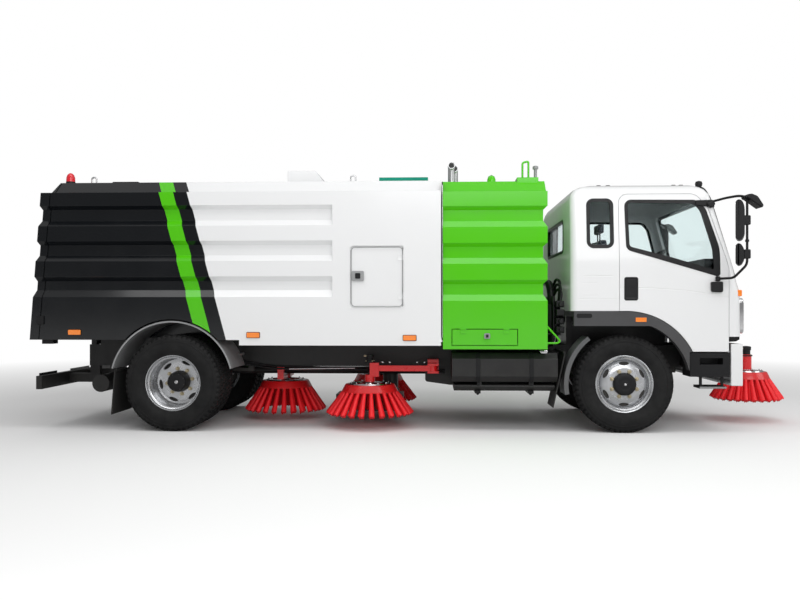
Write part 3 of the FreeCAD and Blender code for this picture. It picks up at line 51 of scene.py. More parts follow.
FAR = 1.4  # past the vehicle's side, for cutters that go right through


# ---- modelling tools ----

def clear():
    """Deselects everything."""
    if bpy.context.mode != "OBJECT":
        bpy.ops.object.mode_set(mode="OBJECT")
    bpy.ops.object.select_all(action="DESELECT")


def pick(*pieces):
    """Selects only the given pieces and makes the first one active."""
    clear()
    for piece in pieces:
        piece.select_set(True)
    bpy.context.view_layer.objects.active = pieces[0]


def fix_place():
    bpy.ops.object.transform_apply(location=True, rotation=True, scale=True)


def slide(piece, way):
    """Moves a piece, with the move put into its mesh."""
    pick(piece)
    bpy.ops.transform.translate(value=way)
    fix_place()


def settle(name):
    """Names the new piece and puts its place into its mesh."""
    piece = bpy.context.active_object
    piece.name = name
    fix_place()
    return piece


def apply(piece, kind, **settings):
    """Adds a modifier with the given settings and applies it."""
    pick(piece)
    modifier = piece.modifiers.new(kind.title(), kind)
    for key, value in settings.items():
        setattr(modifier, key, value)
    bpy.ops.object.modifier_apply(modifier=modifier.name)
    return piece


def soften(piece, width=0.004, segments=2, angle=40):
    """Rounds the piece's sharp edges and shades it smooth between them."""
    if width:
        apply(piece, "BEVEL", width=width, segments=segments, limit_method="ANGLE",
              angle_limit=math.radians(angle), use_clamp_overlap=True)
    pick(piece)
    smooth(angle)
    return apply(piece, "WEIGHTED_NORMAL", keep_sharp=True)


def smooth(angle):
    bpy.ops.object.shade_smooth_by_angle(angle=math.radians(angle))


def select_mesh():
    bpy.ops.mesh.select_all(action="SELECT")


def open_mesh(piece, mode="FACE", whole=False):
    """Opens the piece for editing, with nothing or the whole of it selected."""
    pick(piece)
    bpy.ops.object.mode_set(mode="EDIT")
    bpy.ops.mesh.select_mode(type=mode)
    bpy.ops.mesh.select_all(action="SELECT" if whole else "DESELECT")


def close_mesh():
    bpy.ops.object.mode_set(mode="OBJECT")


def face_out():
    """Turns every face of the open mesh outward and closes it."""
    select_mesh()
    bpy.ops.mesh.normals_make_consistent(inside=False)
    close_mesh()


def drop_faces(piece, test):
    choose(piece, test)
    bpy.ops.mesh.delete(type="FACE")
    close_mesh()


def choose(piece, test, what="polygons"):
    """Opens the piece with the faces, edges or points that pass the test selected; says how many."""
    modes = {"polygons": "FACE", "edges": "EDGE", "vertices": "VERT"}
    open_mesh(piece, modes[what])
    close_mesh()
    chosen = 0
    for part in getattr(piece.data, what):
        part.select = bool(test(part))
        chosen += part.select
    bpy.ops.object.mode_set(mode="EDIT")
    return chosen


def block(name, low, high, bevel=0.0, segments=2):
    """A rectangular block between two corners, its edges rounded where a bevel is given."""
    clear()
    low, high = Vector(low), Vector(high)
    bpy.ops.mesh.primitive_cube_add(size=1, location=(low + high) / 2, scale=high - low)
    piece = settle(name)
    return soften(piece, bevel, segments) if bevel else piece


def bar(name, start, end, radius, sides=24, bevel=0.0, tip=None):
    """A round bar between two points; tip is its radius at the end where it tapers."""
    clear()
    start, end = Vector(start), Vector(end)
    way = end - start
    turn = way.to_track_quat("Z", "Y").to_euler()
    bpy.ops.mesh.primitive_cone_add(vertices=sides, radius1=radius, radius2=radius if tip is None else tip,
                                    depth=way.length, location=(start + end) / 2, rotation=turn)
    return soften(settle(name), bevel)


def line(name, points):
    """A run of edges through the points, in a mesh that stays open for more."""
    clear()
    bpy.ops.mesh.primitive_plane_add(size=0.001)
    piece = settle(name)
    open_mesh(piece, "VERT", whole=True)
    bpy.ops.mesh.merge(type="CENTER")
    here = Vector(ORIGIN)
    for i, point in enumerate(points):
        step = Vector(point) - here
        if i:
            bpy.ops.mesh.extrude_region_move(TRANSFORM_OT_translate={"value": step})
        else:
            bpy.ops.transform.translate(value=step)
        here = Vector(point)
    return piece


def grown(corners, distance):
    """The (along, up, radius) corners of an outline, moved outward by a distance."""
    count = len(corners)
    area = sum(corners[i - 1][0] * corners[i][1] - corners[i][0] * corners[i - 1][1] for i in range(count))
    outward = 1 if area > 0 else -1
    moved = []
    for i, (a, b, radius) in enumerate(corners):
        here = Vector((a, b))
        before = (here - Vector(corners[i - 1][:2])).normalized()
        after = (Vector(corners[(i + 1) % count][:2]) - here).normalized()
        first, second = [Vector((way.y, -way.x)) * outward for way in (before, after)]
        spot = here + (first + second) * distance / (1 + first.dot(second))
        moved.append((spot.x, spot.y, max(radius + distance, 0.002) if radius else 0))
    return moved


def oblong(along, up, corner):
    """Corners of a rectangle, each with the radius that rounds it."""
    (left, right), (low, high) = along, up
    return tuple((*spot, corner) for spot in ((left, low), (right, low), (right, high), (left, high)))


def rounded(corners, grow=0.0, steps=6):
    """An outline from (along, up, radius) corners, each turned into an arc."""
    points = []
    corners = grown(corners, grow) if grow else corners
    for i, (a, b, radius) in enumerate(corners):
        here = Vector((a, b))
        before = (Vector(corners[i - 1][:2]) - here).normalized()
        after = (Vector(corners[(i + 1) % len(corners)][:2]) - here).normalized()
        if not radius:
            points.append((a, b))
            continue
        half = before.angle(after) / 2
        centre = here + (before + after).normalized() * radius / math.sin(half)
        start = here + before * radius / math.tan(half) - centre
        turn = (math.pi - 2 * half) * (1 if before.cross(after) < 0 else -1)
        for k in range(steps + 1):
            arm = start.copy()
            arm.rotate(Matrix.Rotation(turn * k / steps, 2))
            points.append(tuple(centre + arm))
    return points


def bent(points, reach, steps=6):
    """The points with each inner corner turned into a curve that starts the given reach before it."""
    route = [Vector(points[0])]
    for before, corner, after in zip(points, points[1:], points[2:]):
        corner = Vector(corner)
        start = corner + (Vector(before) - corner).normalized() * reach
        end = corner + (Vector(after) - corner).normalized() * reach
        for k in range(steps + 1):
            t = k / steps
            route.append(start * (1 - t) ** 2 + corner * 2 * t * (1 - t) + end * t ** 2)
    return route + [Vector(points[-1])]


def pipe(name, points, radius, reach=0.03, sides=4):
    """A round tube along the points with its corners bent."""
    piece = line(name, bent(points, reach))
    close_mesh()
    bpy.ops.object.convert(target="CURVE")
    curve = bpy.context.active_object
    curve.data.bevel_depth = radius
    curve.data.bevel_resolution = sides
    curve.data.use_fill_caps = True
    bpy.ops.object.convert(target="MESH")
    piece = settle(name)
    smooth(40)
    return piece


PLANES = {"XZ": lambda a, b, c: (a, c, b), "YZ": lambda a, b, c: (c, a, b)}


def plate(name, plane, corners, low, high, bevel=0.0, segments=2, angle=40):
    """A plate with the given outline, between two levels across its plane."""
    at = PLANES[plane]
    piece = line(name, [at(a, b, low) for a, b in corners])
    select_mesh()
    bpy.ops.mesh.edge_face_add()
    bpy.ops.mesh.extrude_region_move(TRANSFORM_OT_translate={"value": at(0, 0, high - low)})
    face_out()
    return soften(piece, bevel, segments, angle)


def lathe(name, profile, centre=ORIGIN, axis="Y", steps=64, angle=35):
    """Turns a profile of (along the axis, radius) about the axis through the centre."""
    centre = Vector(centre)
    at, way = {"X": (lambda a, r: (a, 0, r), (1, 0, 0)), "Y": (lambda a, r: (0, a, r), (0, 1, 0)),
               "Z": (lambda a, r: (r, 0, a), (0, 0, 1))}[axis]
    points = [centre + Vector(at(a, r)) for a, r in profile]
    piece = line(name, points + [points[0]])
    select_mesh()
    bpy.ops.mesh.spin(steps=steps, angle=math.tau, center=centre, axis=way, dupli=False)
    select_mesh()
    bpy.ops.mesh.remove_doubles(threshold=0.0002)
    face_out()
    return soften(piece, 0, angle=angle)


def copy_of(piece, name, turn=None, about=ORIGIN, mirror=False):
    """A copy with its own mesh, turned about an axis through a point, or mirrored to the other side."""
    pick(piece)
    bpy.ops.object.duplicate()
    twin = bpy.context.active_object
    twin.name = name
    if turn:
        axis, angle = turn
        twin.matrix_world = (Matrix.Translation(about) @ Matrix.Rotation(angle, 4, axis)
                             @ Matrix.Translation(-Vector(about)))
    if mirror:
        twin.scale.y = -1
    fix_place()
    if mirror:
        bpy.ops.object.mode_set(mode="EDIT")
        select_mesh()
        bpy.ops.mesh.flip_normals()
        close_mesh()
    return twin


def ring_of(piece, name, count, centre, axis, start=0.0):
    """Copies of a piece set round a centre and joined into one, which takes its place."""
    twins = [copy_of(piece, name, turn=(axis, start + math.tau * i / count), about=centre) for i in range(count)]
    bpy.data.objects.remove(piece)
    return join(name, *twins)


def join(name, *pieces):
    """Makes one piece of several."""
    pick(*pieces)
    if len(pieces) > 1:
        bpy.ops.object.join()
    piece = bpy.context.active_object
    piece.name = name
    return piece


def carve(piece, tool, operation="DIFFERENCE", keep=False):
    """Cuts the tool out of the piece, or keeps only what they share; the tool then goes, unless it is kept."""
    apply(piece, "BOOLEAN", object=tool, operation=operation, solver="EXACT")
    if not keep:
        bpy.data.objects.remove(tool)
    return piece


FLAT_WITHIN = 0.6  # degrees between faces that count as one flat face


def cad_copy(node, name):
    """A clean copy of a frame node: its points merged and its flat faces made whole."""
    pick(frame["nodes"][node])
    bpy.ops.object.duplicate()
    piece = bpy.context.active_object
    piece.name = name
    piece.parent = None
    piece.matrix_world = Matrix.Identity(4)
    for key in list(piece.keys()):
        del piece[key]
    open_mesh(piece, whole=True)
    bpy.ops.mesh.remove_doubles(threshold=0.00005)
    bpy.ops.mesh.dissolve_limited(angle_limit=math.radians(FLAT_WITHIN))
    close_mesh()
    return piece


# ---- finishes ----

class Finish:
    """A material under construction; add() places a node and feeds its inputs."""

    def __init__(self, name):
        self.material = bpy.data.materials.new(name)
        self.material.use_nodes = True
        self.nodes = self.material.node_tree.nodes
        self.links = self.material.node_tree.links
        self.shader = self.nodes["Principled BSDF"]
        self.place = self.add("TexCoord").outputs["Object"]

    def feed(self, node, key, value):
        socket = node.inputs[key]
        if isinstance(value, bpy.types.NodeSocket):
            self.links.new(value, socket)
        else:
            socket.default_value = value

    def add(self, kind, settings=(), **inputs):
        node = self.nodes.new("ShaderNode" + kind)
        for key, value in dict(settings).items():
            setattr(node, key, value)
        for key, value in inputs.items():
            self.feed(node, int(key[1:]) if key[0] == "_" else key.replace("_", " "), value)
        return node

    def set(self, **inputs):
        for key, value in inputs.items():
            self.feed(self.shader, key.replace("_", " "), value)

    def noise(self, scale, detail=3.0, rough=0.5, stretch=None):
        place = self.place
        if stretch:
            place = self.add("Mapping", _0=place, Scale=stretch).outputs[0]
        return self.add("TexNoise", Vector=place, Scale=scale, Detail=detail, Roughness=rough).outputs["Fac"]

    def spread(self, value, low, high, start=0.3, end=0.7):
        return self.add("MapRange", _0=value, _1=start, _2=end, _3=low, _4=high).outputs[0]

    def blend(self, factor, first, second, kind="MIX"):
        node = self.add("Mix", {"data_type": "RGBA", "blend_type": kind}, _0=factor, _6=first, _7=second)
        return node.outputs[2]

    def calc(self, operation, first, second=0.0):
        return self.add("Math", {"operation": operation}, _0=first, _1=second).outputs[0]

    def axis(self, name):
        return self.add("SeparateXYZ", _0=self.place).outputs[name]

    def bump(self, height, strength=0.2, distance=0.001):
        self.set(Normal=self.add("Bump", Height=height, Strength=strength, Distance=distance).outputs[0])


def shade(colour, factor):
    """The colour made lighter or darker."""
    return (*[min(c * factor, 1.0) for c in colour[:3]], 1.0)


DUST, MUD = (0.20, 0.185, 0.16, 1.0), (0.30, 0.28, 0.25, 1)


def coating(name, colour, rough=0.35, metal=0.0, coat=0.0, mottle=0.05, grain=90.0, grain_height=0.0003,
            rough_drift=0.06, dust=0.0, dust_top=1.0, shine=0.5):
    """Paint, plastic, rubber or metal: drifting colour and gloss, a fine surface grain and dust low down."""
    look = Finish(name)
    patch = 3.0
    drift = look.spread(look.noise(patch, 4.0), 0.0, 1.0)
    shown = look.blend(drift, shade(colour, 1.0 - mottle), shade(colour, 1.0 + mottle))
    if dust:
        low = look.spread(look.axis("Z"), dust, 0.0, 0.1, dust_top)
        patches = look.calc("MULTIPLY", low, look.spread(look.noise(7.0, 6.0, 0.65), 0.25, 1.0))
        shown = look.blend(patches, shown, DUST)
    look.set(Base_Color=shown, Metallic=metal, Coat_Weight=coat, Coat_Roughness=0.06, Specular_IOR_Level=shine)
    look.set(Roughness=look.spread(look.noise(patch * 2.3, 5.0), rough - rough_drift, rough + rough_drift))
    look.bump(look.noise(grain, 2.0), 0.35, grain_height)
    return look.material


WHITE, BLACK, GREEN = (0.86, 0.865, 0.87, 1), (0.0035, 0.0045, 0.006, 1), (0.085, 0.56, 0.004, 1)
RIBS_TOP = 2.5
# Where each edge of the stripe stands at the top of the ribs, and how far it leans back for each metre down.
WHITE_EDGE, STRIPE_REAR, STRIPE_FRONT = (-2.451, 0.269), (-2.747, 0.264), (-2.595, 0.268)
STRIPE_LEAN_ABOVE = 0.57


def stripe_colour(look):
    """White in front and black behind, with a green stripe that leans across the ribs."""
    along, up = look.axis("X"), look.axis("Z")
    drop = look.calc("MAXIMUM", look.calc("SUBTRACT", RIBS_TOP, up), 0.0)
    rise = look.calc("MAXIMUM", look.calc("SUBTRACT", up, RIBS_TOP), 0.0)
    straight = look.calc("ADD", along, look.calc("MULTIPLY", rise, STRIPE_LEAN_ABOVE))

    def ahead(edge, lean):
        moved = look.calc("SUBTRACT", straight, look.calc("MULTIPLY", drop, lean))
        return look.calc("GREATER_THAN", moved, edge)

    shown = look.blend(ahead(*WHITE_EDGE), BLACK, WHITE)
    return look.blend(look.calc("SUBTRACT", ahead(*STRIPE_REAR), ahead(*STRIPE_FRONT)), shown, GREEN)


def body_paint(name, colour=None):
    """Gloss body paint in one colour, or the hopper's striped paint where no colour is given."""
    look = Finish(name)
    gloss = 0.16
    shown = colour or stripe_colour(look)
    drift = look.spread(look.noise(1.7, 4.0), 0.99, 1.0)
    fade = look.add("CombineColor", Red=drift, Green=drift, Blue=drift).outputs[0]
    shown = look.blend(1.0, shown, fade, "MULTIPLY")
    low = look.spread(look.axis("Z"), 0.02, 0.0, 0.85, 1.25)
    splashes = look.spread(look.noise(9.0, 6.0, 0.7), 0.1, 1.0)
    shown = look.blend(look.calc("MULTIPLY", low, splashes), shown, MUD)
    look.set(Base_Color=shown, Coat_Weight=0.10, Coat_Roughness=0.08, Specular_IOR_Level=0.42)
    look.set(Roughness=look.spread(look.noise(4.0, 5.0), gloss - 0.03, gloss + 0.03))
    look.bump(look.noise(55.0, 2.0, 0.4), 0.12, 0.0004)
    return look.material


def rubber_tyre(name):
    """Tyre rubber: a grey bloom that drifts in patches, and a fine surface grain."""
    look = Finish(name)
    bloom = look.spread(look.noise(6.0, 5.0, 0.6), 0.0, 1.0)
    shown = look.blend(bloom, (0.008, 0.008, 0.0085, 1), (0.017, 0.017, 0.017, 1))
    look.set(Base_Color=shown, Roughness=look.spread(look.noise(14.0, 4.0), 0.6, 0.8), Specular_IOR_Level=0.25)
    look.bump(look.noise(160.0, 3.0, 0.6), 0.5, 0.0006)
    return look.material


def bristle_plastic(name):
    """Red bristle: colour and gloss run in streaks along the strands."""
    look = Finish(name)
    strands = look.noise(150.0, 3.0, 0.6, stretch=(1.0, 1.0, 0.06))
    shown = look.blend(look.spread(strands, 0.0, 1.0, 0.35, 0.65), (0.86, 0.004, 0.010, 1), (1.0, 0.020, 0.030, 1))
    look.set(Base_Color=shown, Roughness=look.spread(strands, 0.4, 0.6))
    look.bump(strands, 0.6, 0.0015)
    return look.material


def window_glass(name, tint):
    """Thin clear glass with a faint haze."""
    look = Finish(name)
    look.set(Base_Color=look.blend(look.spread(look.noise(2.0), 0.0, 1.0), shade(tint, 0.97), shade(tint, 1.0)))
    look.set(Transmission_Weight=1.0, IOR=1.08)
    look.set(Roughness=look.spread(look.noise(12.0, 4.0), 0.0, 0.02))
    return look.material


def lamp_lens(name, colour, glow=0.0):
    """Ribbed lamp plastic over a bright reflector."""
    look = Finish(name)
    ribs = look.add("TexWave", {"bands_direction": "X"}, Vector=look.place, Scale=260.0 / 6.0, Distortion=0.4)
    wave = ribs.outputs["Fac"]
    look.set(Base_Color=look.blend(wave, shade(colour, 0.75), shade(colour, 1.2)), Coat_Weight=0.7,
             Coat_Roughness=0.03)
    look.set(Roughness=look.spread(wave, 0.15, 0.3, 0.0, 1.0), Emission_Strength=glow,
             Emission_Color=shade(colour, 1))
    look.bump(wave, 0.4, 0.001)
    return look.material


def seat_weave(name, colour):
    """Flecked seat cloth with raised threads both ways."""
    look = Finish(name)
    across, down = [look.add("TexWave", {"bands_direction": way}, Vector=look.place, Scale=120.0).outputs["Fac"]
                    for way in "XY"]
    weave = look.calc("MAXIMUM", across, down)
    fleck = look.spread(look.noise(60.0, 4.0), 0.0, 1.0)
    shown = look.blend(fleck, shade(colour, 0.7), shade(colour, 1.3))
    look.set(Base_Color=look.blend(weave, shade(colour, 0.6), shown), Roughness=0.9, Sheen_Weight=0.3)
    look.bump(weave, 0.5, 0.0008)
    return look.material


FINISHES = {
    "hopper_paint": body_paint("striped_body_paint"),
    "white_paint": body_paint("white_body_paint", WHITE),
    "green_paint": body_paint("green_body_paint", GREEN),
    "red_paint": coating("red_gloss_paint", (0.74, 0.008, 0.012), 0.32, coat=0.3, dust=0.08, dust_top=0.9),
    "chassis_paint": coating("chassis_black", (0.008, 0.008, 0.009), 0.42, mottle=0.25, grain=70, dust=0.14,
                             dust_top=1.1),
    "cast_axle": coating("cast_iron_black", (0.02, 0.02, 0.02), 0.6, mottle=0.3, grain=160, grain_height=0.0015,
                         dust=0.4, dust_top=0.9),
    "spring_steel": coating("spring_leaf_steel", (0.03, 0.028, 0.027), 0.5, metal=0.4, mottle=0.3, dust=0.4,
                            dust_top=0.9),
    "bright_steel": coating("polished_steel", (0.72, 0.72, 0.73), 0.16, metal=1.0, mottle=0.06, grain=200,
                            grain_height=0.0001, rough_drift=0.05),
    "wheel_silver": coating("wheel_silver_paint", (0.62, 0.63, 0.65), 0.28, metal=0.8, coat=0.1, mottle=0.08,
                            grain=240, grain_height=0.0002, dust=0.12, dust_top=0.75),
    "dull_steel": coating("brushed_steel", (0.50, 0.50, 0.51), 0.34, metal=0.9, mottle=0.12, grain=180,
                          grain_height=0.0002),
    "tyre_rubber": rubber_tyre("tyre_rubber"),
    "flap_rubber": coating("mudflap_rubber", (0.012, 0.012, 0.012), 0.7, mottle=0.3, grain=120,
                           grain_height=0.0008, dust=0.12, dust_top=0.9),
    "dark_plastic": coating("moulded_black_plastic", (0.010, 0.010, 0.011), 0.42, mottle=0.1, grain=320,
                            grain_height=0.0003, shine=0.3),
    "grey_guard": coating("grey_guard_plastic", (0.10, 0.103, 0.108), 0.45, mottle=0.12, grain=200,
                          grain_height=0.0004, dust=0.3, dust_top=1.0),
    "silver_guard": coating("silver_guard_paint", (0.33, 0.335, 0.34), 0.4, metal=0.3, mottle=0.1, dust=0.25,
                            dust_top=1.1),
    "cab_trim": coating("grey_trim_plastic", (0.055, 0.055, 0.058), 0.5, mottle=0.08, grain=350,
                        grain_height=0.0004, dust=0.2, dust_top=1.2),
    "lining": coating("pale_lining", (0.55, 0.56, 0.57), 0.8, mottle=0.06, grain=260, grain_height=0.0005),
    "seat_cloth": seat_weave("seat_weave", (0.10, 0.11, 0.13)),
    "clear_glass": window_glass("window_glass", (0.86, 0.93, 0.93)),
    "red_bristle": bristle_plastic("red_bristle"),
    "teal_paint": coating("teal_hatch_paint", (0.002, 0.29, 0.19), 0.4, shine=0.2),
    "orange_lens": lamp_lens("orange_lamp_lens", (0.95, 0.22, 0.01), glow=0.15),
    "red_lens": lamp_lens("red_beacon_lens", (0.72, 0.008, 0.02), glow=0.1),
    "lamp_glass": lamp_lens("clear_lamp_lens", (0.7, 0.72, 0.74)),
    "mirror_face": coating("mirror_glass", (0.75, 0.77, 0.78), 0.03, metal=1.0, mottle=0.01, grain_height=0.0,
                           rough_drift=0.01),
    "brass": coating("zinc_nut", (0.55, 0.48, 0.33), 0.35, metal=0.9, mottle=0.1),
}


def wear(piece, finish):
    piece.data.materials.clear()
    piece.data.materials.append(FINISHES[finish])
    return piece


def put(piece, body, finish, *nodes):
    """Gives a finished piece its surface and its body, and hides the frame nodes that it stands for."""
    wear(piece, finish)
    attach(piece, body)
    if nodes:
        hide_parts(*nodes)
    return piece


# ---- stage, light and camera ----

FLOOR_SIZE, FADE_START, FADE_END = 160, 6.0, 14.0
ROOM_LOW, ROOM_HIGH = 0.14, 0.62


def make_floor():
    """A pale floor that goes over into plain white further out."""
    clear()
    bpy.ops.mesh.primitive_plane_add(size=FLOOR_SIZE, location=(0, 20, 0))
    floor = settle("floor")
    look = Finish("pale_floor")
    rays = look.add("LightPath")
    shown = look.blend(rays.outputs["Is Camera Ray"], (0.55, 0.55, 0.55, 1), (0.97, 0.97, 0.97, 1))
    look.set(Base_Color=shown, Roughness=look.spread(look.noise(3.0), 0.85, 0.95), Specular_IOR_Level=0.0)
    away = look.add("VectorMath", {"operation": "LENGTH"}, _0=look.place).outputs["Value"]
    far_off = look.spread(away, 0.0, 1.0, FADE_START, FADE_END)
    pale = look.add("Emission", Color=(1, 1, 1, 1), Strength=1.0).outputs[0]
    joined = look.add("MixShader", _0=far_off, _1=look.shader.outputs[0], _2=pale).outputs[0]
    look.links.new(joined, look.nodes["Material Output"].inputs["Surface"])
    floor.data.materials.append(look.material)


def make_room():
    """A world that is white to the camera and through glass, and lights the truck more from above."""
    world = bpy.data.worlds.new("studio")
    bpy.context.scene.world = world
    world.use_nodes = True
    nodes, link = world.node_tree.nodes, world.node_tree.links.new
    path, seen, strength, way, parts, height = [nodes.new("ShaderNode" + kind) for kind in (
        "LightPath", "Math", "MapRange", "TexCoord", "SeparateXYZ", "MapRange")]
    seen.operation = "MAXIMUM"
    link(path.outputs["Is Camera Ray"], seen.inputs[0])
    link(path.outputs["Is Transmission Ray"], seen.inputs[1])
    strength.inputs["To Max"].default_value = 1.0
    link(seen.outputs[0], strength.inputs["Value"])
    link(way.outputs["Generated"], parts.inputs[0])
    for key, value in (("From Min", -0.1), ("From Max", 1.0), ("To Min", ROOM_LOW), ("To Max", ROOM_HIGH)):
        height.inputs[key].default_value = value
    link(parts.outputs["Z"], height.inputs["Value"])
    link(height.outputs[0], strength.inputs["To Min"])
    room = nodes["Background"]
    room.inputs["Color"].default_value = (1, 1, 1, 1)
    link(strength.outputs[0], room.inputs["Strength"])


def make_lamps():
    # name, place, aimed at, width, height, power
    lamps = (
        ("softbox_above", (0.3, -3.9, 7.5), (0.3, -0.6, 0.5), 12.0, 2.4, 200.0),
        ("softbox_near_side", (2.5, -10.0, 5.5), (0.5, 0.0, 1.2), 8.0, 4.0, 290.0),
        ("softbox_front", (9.5, -3.0, 4.0), (2.0, 0.0, 1.2), 4.0, 4.0, 110.0),
        ("softbox_low", (-0.5, -9.0, 1.1), (-0.5, 0.0, 0.4), 9.0, 1.4, 95.0),
    )
    for name, place, aim, width, height, power in lamps:
        clear()
        bpy.ops.object.light_add(type="AREA", location=place)
        lamp = bpy.context.active_object
        lamp.name = name
        lamp.rotation_euler = (Vector(aim) - Vector(place)).to_track_quat("-Z", "Y").to_euler()
        lamp.data.shape = "RECTANGLE"
        lamp.data.size = width
        lamp.data.size_y = height
        lamp.data.energy = power
        lamp.visible_glossy = name != "softbox_low"


def make_camera():
    """The camera, a little over the near side's middle, and the plain colour transform."""
    along, distance, eye_height, yaw = 0.130, 9.62, 1.2824, math.radians(2.44)
    bpy.ops.object.camera_add(location=(along, -distance, eye_height), rotation=(math.radians(90), 0, yaw))
    camera = bpy.context.active_object
    camera.data.lens = 36.92
    camera.data.shift_y = 0.01125
    camera.data.clip_end = 300
    scene = bpy.context.scene
    scene.camera = camera
    scene.view_settings.view_transform = "Standard"


# ---- frame nodes that keep their shape ----

KEPT = {
    "chassis_paint": ("frame_rails", "underrun_bar", "main_engine", "propshaft", "hoist_barrels", "air_tanks",
                      "battery_box", "suction_nozzle"),
    "cast_axle": ("front_axle", "rear_axle", "knuckle_left", "knuckle_right", "tie_rod"),
    "spring_steel": ("leaf_springs",),
    "bright_steel": ("hoist_rods",),
    "flap_rubber": ("mudflaps",),
    "red_paint": ("side_brush_arm_left", "side_brush_arm_right", "brush_brackets"),
    "dark_plastic": ("sweeper_engine", "steering_wheel", "dashboard"),
    "clear_glass": ("cab_glass", "door_glass_left", "door_glass_right"),
}


def dress_frame():
    for finish, names in KEPT.items():
        for name in names:
            wear(frame["nodes"][name], finish)


RIB_ANGLE = 22  # degrees; the ribs' slopes stay crisp below it
SKIN = -1.190  # the hopper's right-hand face
DOOR_CORNER, SEAL_WIDTH = 0.045, 0.007


def body_of(node):
    return next(body for body, nodes in frame["record"]["behaviour"]["bodies"].items() if node in nodes)


def refined(node, finish, width=0.004, segments=2, angle=35):
    """The node's own shape with its sharp edges rounded, standing for the node."""
    piece = cad_copy(node, node + "_skin")
    soften(piece, width, segments, angle)
    return put(piece, body_of(node), finish, node)


def make_bodywork():
    """The frame nodes that keep their own shape, with rounded edges, and the service door's frame and seal."""
    for node, finish in (("hopper_shell", "hopper_paint"), ("tailgate", "hopper_paint"),
                         ("engine_compartment", "green_paint")):
        refined(node, finish, angle=RIB_ANGLE)
    guards = refined("mudguards", "silver_guard")
    guards.data.materials.append(FINISHES["grey_guard"])
    for face in guards.data.polygons:
        face.material_index = int(face.center.x > 0)
    refined("front_bumper", "white_paint", 0.022, 4)

    door = refined("service_door", "white_paint")
    low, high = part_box("service_door")
    along, up, skin = (low[0], high[0]), (low[2], high[2]), low[1]
    leaf = oblong(along, up, DOOR_CORNER)

    def leaf_cutter(grow, start, end):
        return plate("cutter", "XZ", rounded(leaf, grow), start, end)

    carve(door, leaf_cutter(0.0, skin - 0.02, high[1] + 0.02), "INTERSECT")
    pick(door)
    bpy.ops.object.shade_flat()
    surround = plate("service_door_frame", "XZ", rounded(oblong(along, up, 0.004), 0.018), SKIN - 0.0015,
                     SKIN + 0.002)
    put(carve(surround, leaf_cutter(0.003, SKIN - 0.05, SKIN + 0.05)), "hopper", "white_paint")
    seal = plate("service_door_seal", "XZ", rounded(leaf, -0.005), skin - 0.0003, skin + 0.003)
    put(carve(seal, leaf_cutter(-0.005 - SEAL_WIDTH, skin - 0.05, skin + 0.05)), "service_door", "silver_guard")

    for node, finish in (
            ("compartment_flap", "green_paint"), ("hopper_roof_fittings", "white_paint"),
            ("exhaust_stacks", "dull_steel"), ("fuel_tank", "chassis_paint"), ("arch_trims", "cab_trim"),
            ("step_panels", "dark_plastic"), ("centre_brush_head", "red_paint"), ("front_brush_head", "red_paint"),
            ("side_brush_head_left", "red_paint"), ("side_brush_head_right", "red_paint")):
        refined(node, finish)


# ---- wheels ----

AXLE_UP, FRONT_AXLE, REAR_AXLE = 0.506, 2.085, -2.615
FRONT_MIDDLE, TWIN_MIDDLE, TWIN_HALF = 0.95, 0.875, 0.155
TREAD_STEPS = 168  # three to a block
TREAD_HALF, WALL_RADIUS, TREAD_RADIUS = 0.086, 0.477, 0.5045
STUD_CIRCLE = 0.1375  # radius


def round_index(point, steps):
    """Which of the equal steps round the Y axis a point about the origin lies in."""
    return int((math.atan2(point.z, point.x) / math.tau % 1.0) * steps)


def make_tyre():
    """A tyre about the origin: moulding rings on its walls, grooves, blocks and notched shoulders."""
    half = [
        # outward from the tyre's middle, radius
        (0.084, 0.288), (0.101, 0.290), (0.106, 0.300), (0.112, 0.306), (0.114, 0.316), (0.121, 0.325),
        (0.128, 0.345), (0.1335, 0.365), (0.136, 0.388), (0.1355, 0.410), (0.132, 0.432), (0.1345, 0.435),
        (0.1335, 0.441), (0.130, 0.443), (0.126, 0.462), (0.1275, 0.465), (0.126, 0.470), (0.122, 0.476),
        (0.119, 0.487), (0.112, 0.497), (0.101, 0.503), (0.086, 0.5055), (0.066, 0.506), (0.063, 0.495),
        (0.053, 0.495), (0.050, 0.506), (0.022, 0.506), (0.019, 0.495), (0.009, 0.495), (0.006, 0.506),
    ]
    profile = half + [(-a, r) for a, r in reversed(half)]
    tyre = lathe("tyre_form", profile, steps=TREAD_STEPS, angle=32)

    def nth_step(face, reach, turn):
        """Whether the face lies past a radius, on every third step round the tyre."""
        past = math.hypot(face.center.x, face.center.z) > reach
        return past and (round_index(face.center, TREAD_STEPS) + turn) % 3 == 0

    def shoulder_notch(face):
        return abs(face.center.y) > TREAD_HALF and nth_step(face, WALL_RADIUS, 0)

    def block_gap(face):
        return abs(face.center.y) < TREAD_HALF and nth_step(face, TREAD_RADIUS, 1 if face.center.y > 0 else 2)

    for test, depth in ((shoulder_notch, 0.011), (block_gap, 0.008)):
        choose(tyre, test)
        bpy.ops.mesh.inset(thickness=0.0, depth=-depth)
        close_mesh()
    return soften(tyre, 0, angle=32)


def hand_holes(rim, inner, depth, reach=0.213, first=30):
    """Six oval holes through the disc of a wheel about the origin."""
    quarter = math.radians(90)
    for i in range(6):
        angle = math.radians(first + 60 * i)
        clear()
        bpy.ops.mesh.primitive_cylinder_add(vertices=28, radius=0.5, depth=depth, rotation=(quarter, 0, 0))
        hole = settle("hand_hole")
        open_mesh(hole, whole=True)
        bpy.ops.transform.resize(value=(0.104, 1.0, 0.038))
        close_mesh()
        turned = copy_of(hole, "hand_hole_cut", turn=("Y", quarter - angle))
        bpy.data.objects.remove(hole)
        slide(turned, (reach * math.cos(angle), inner, reach * math.sin(angle)))
        carve(rim, turned)


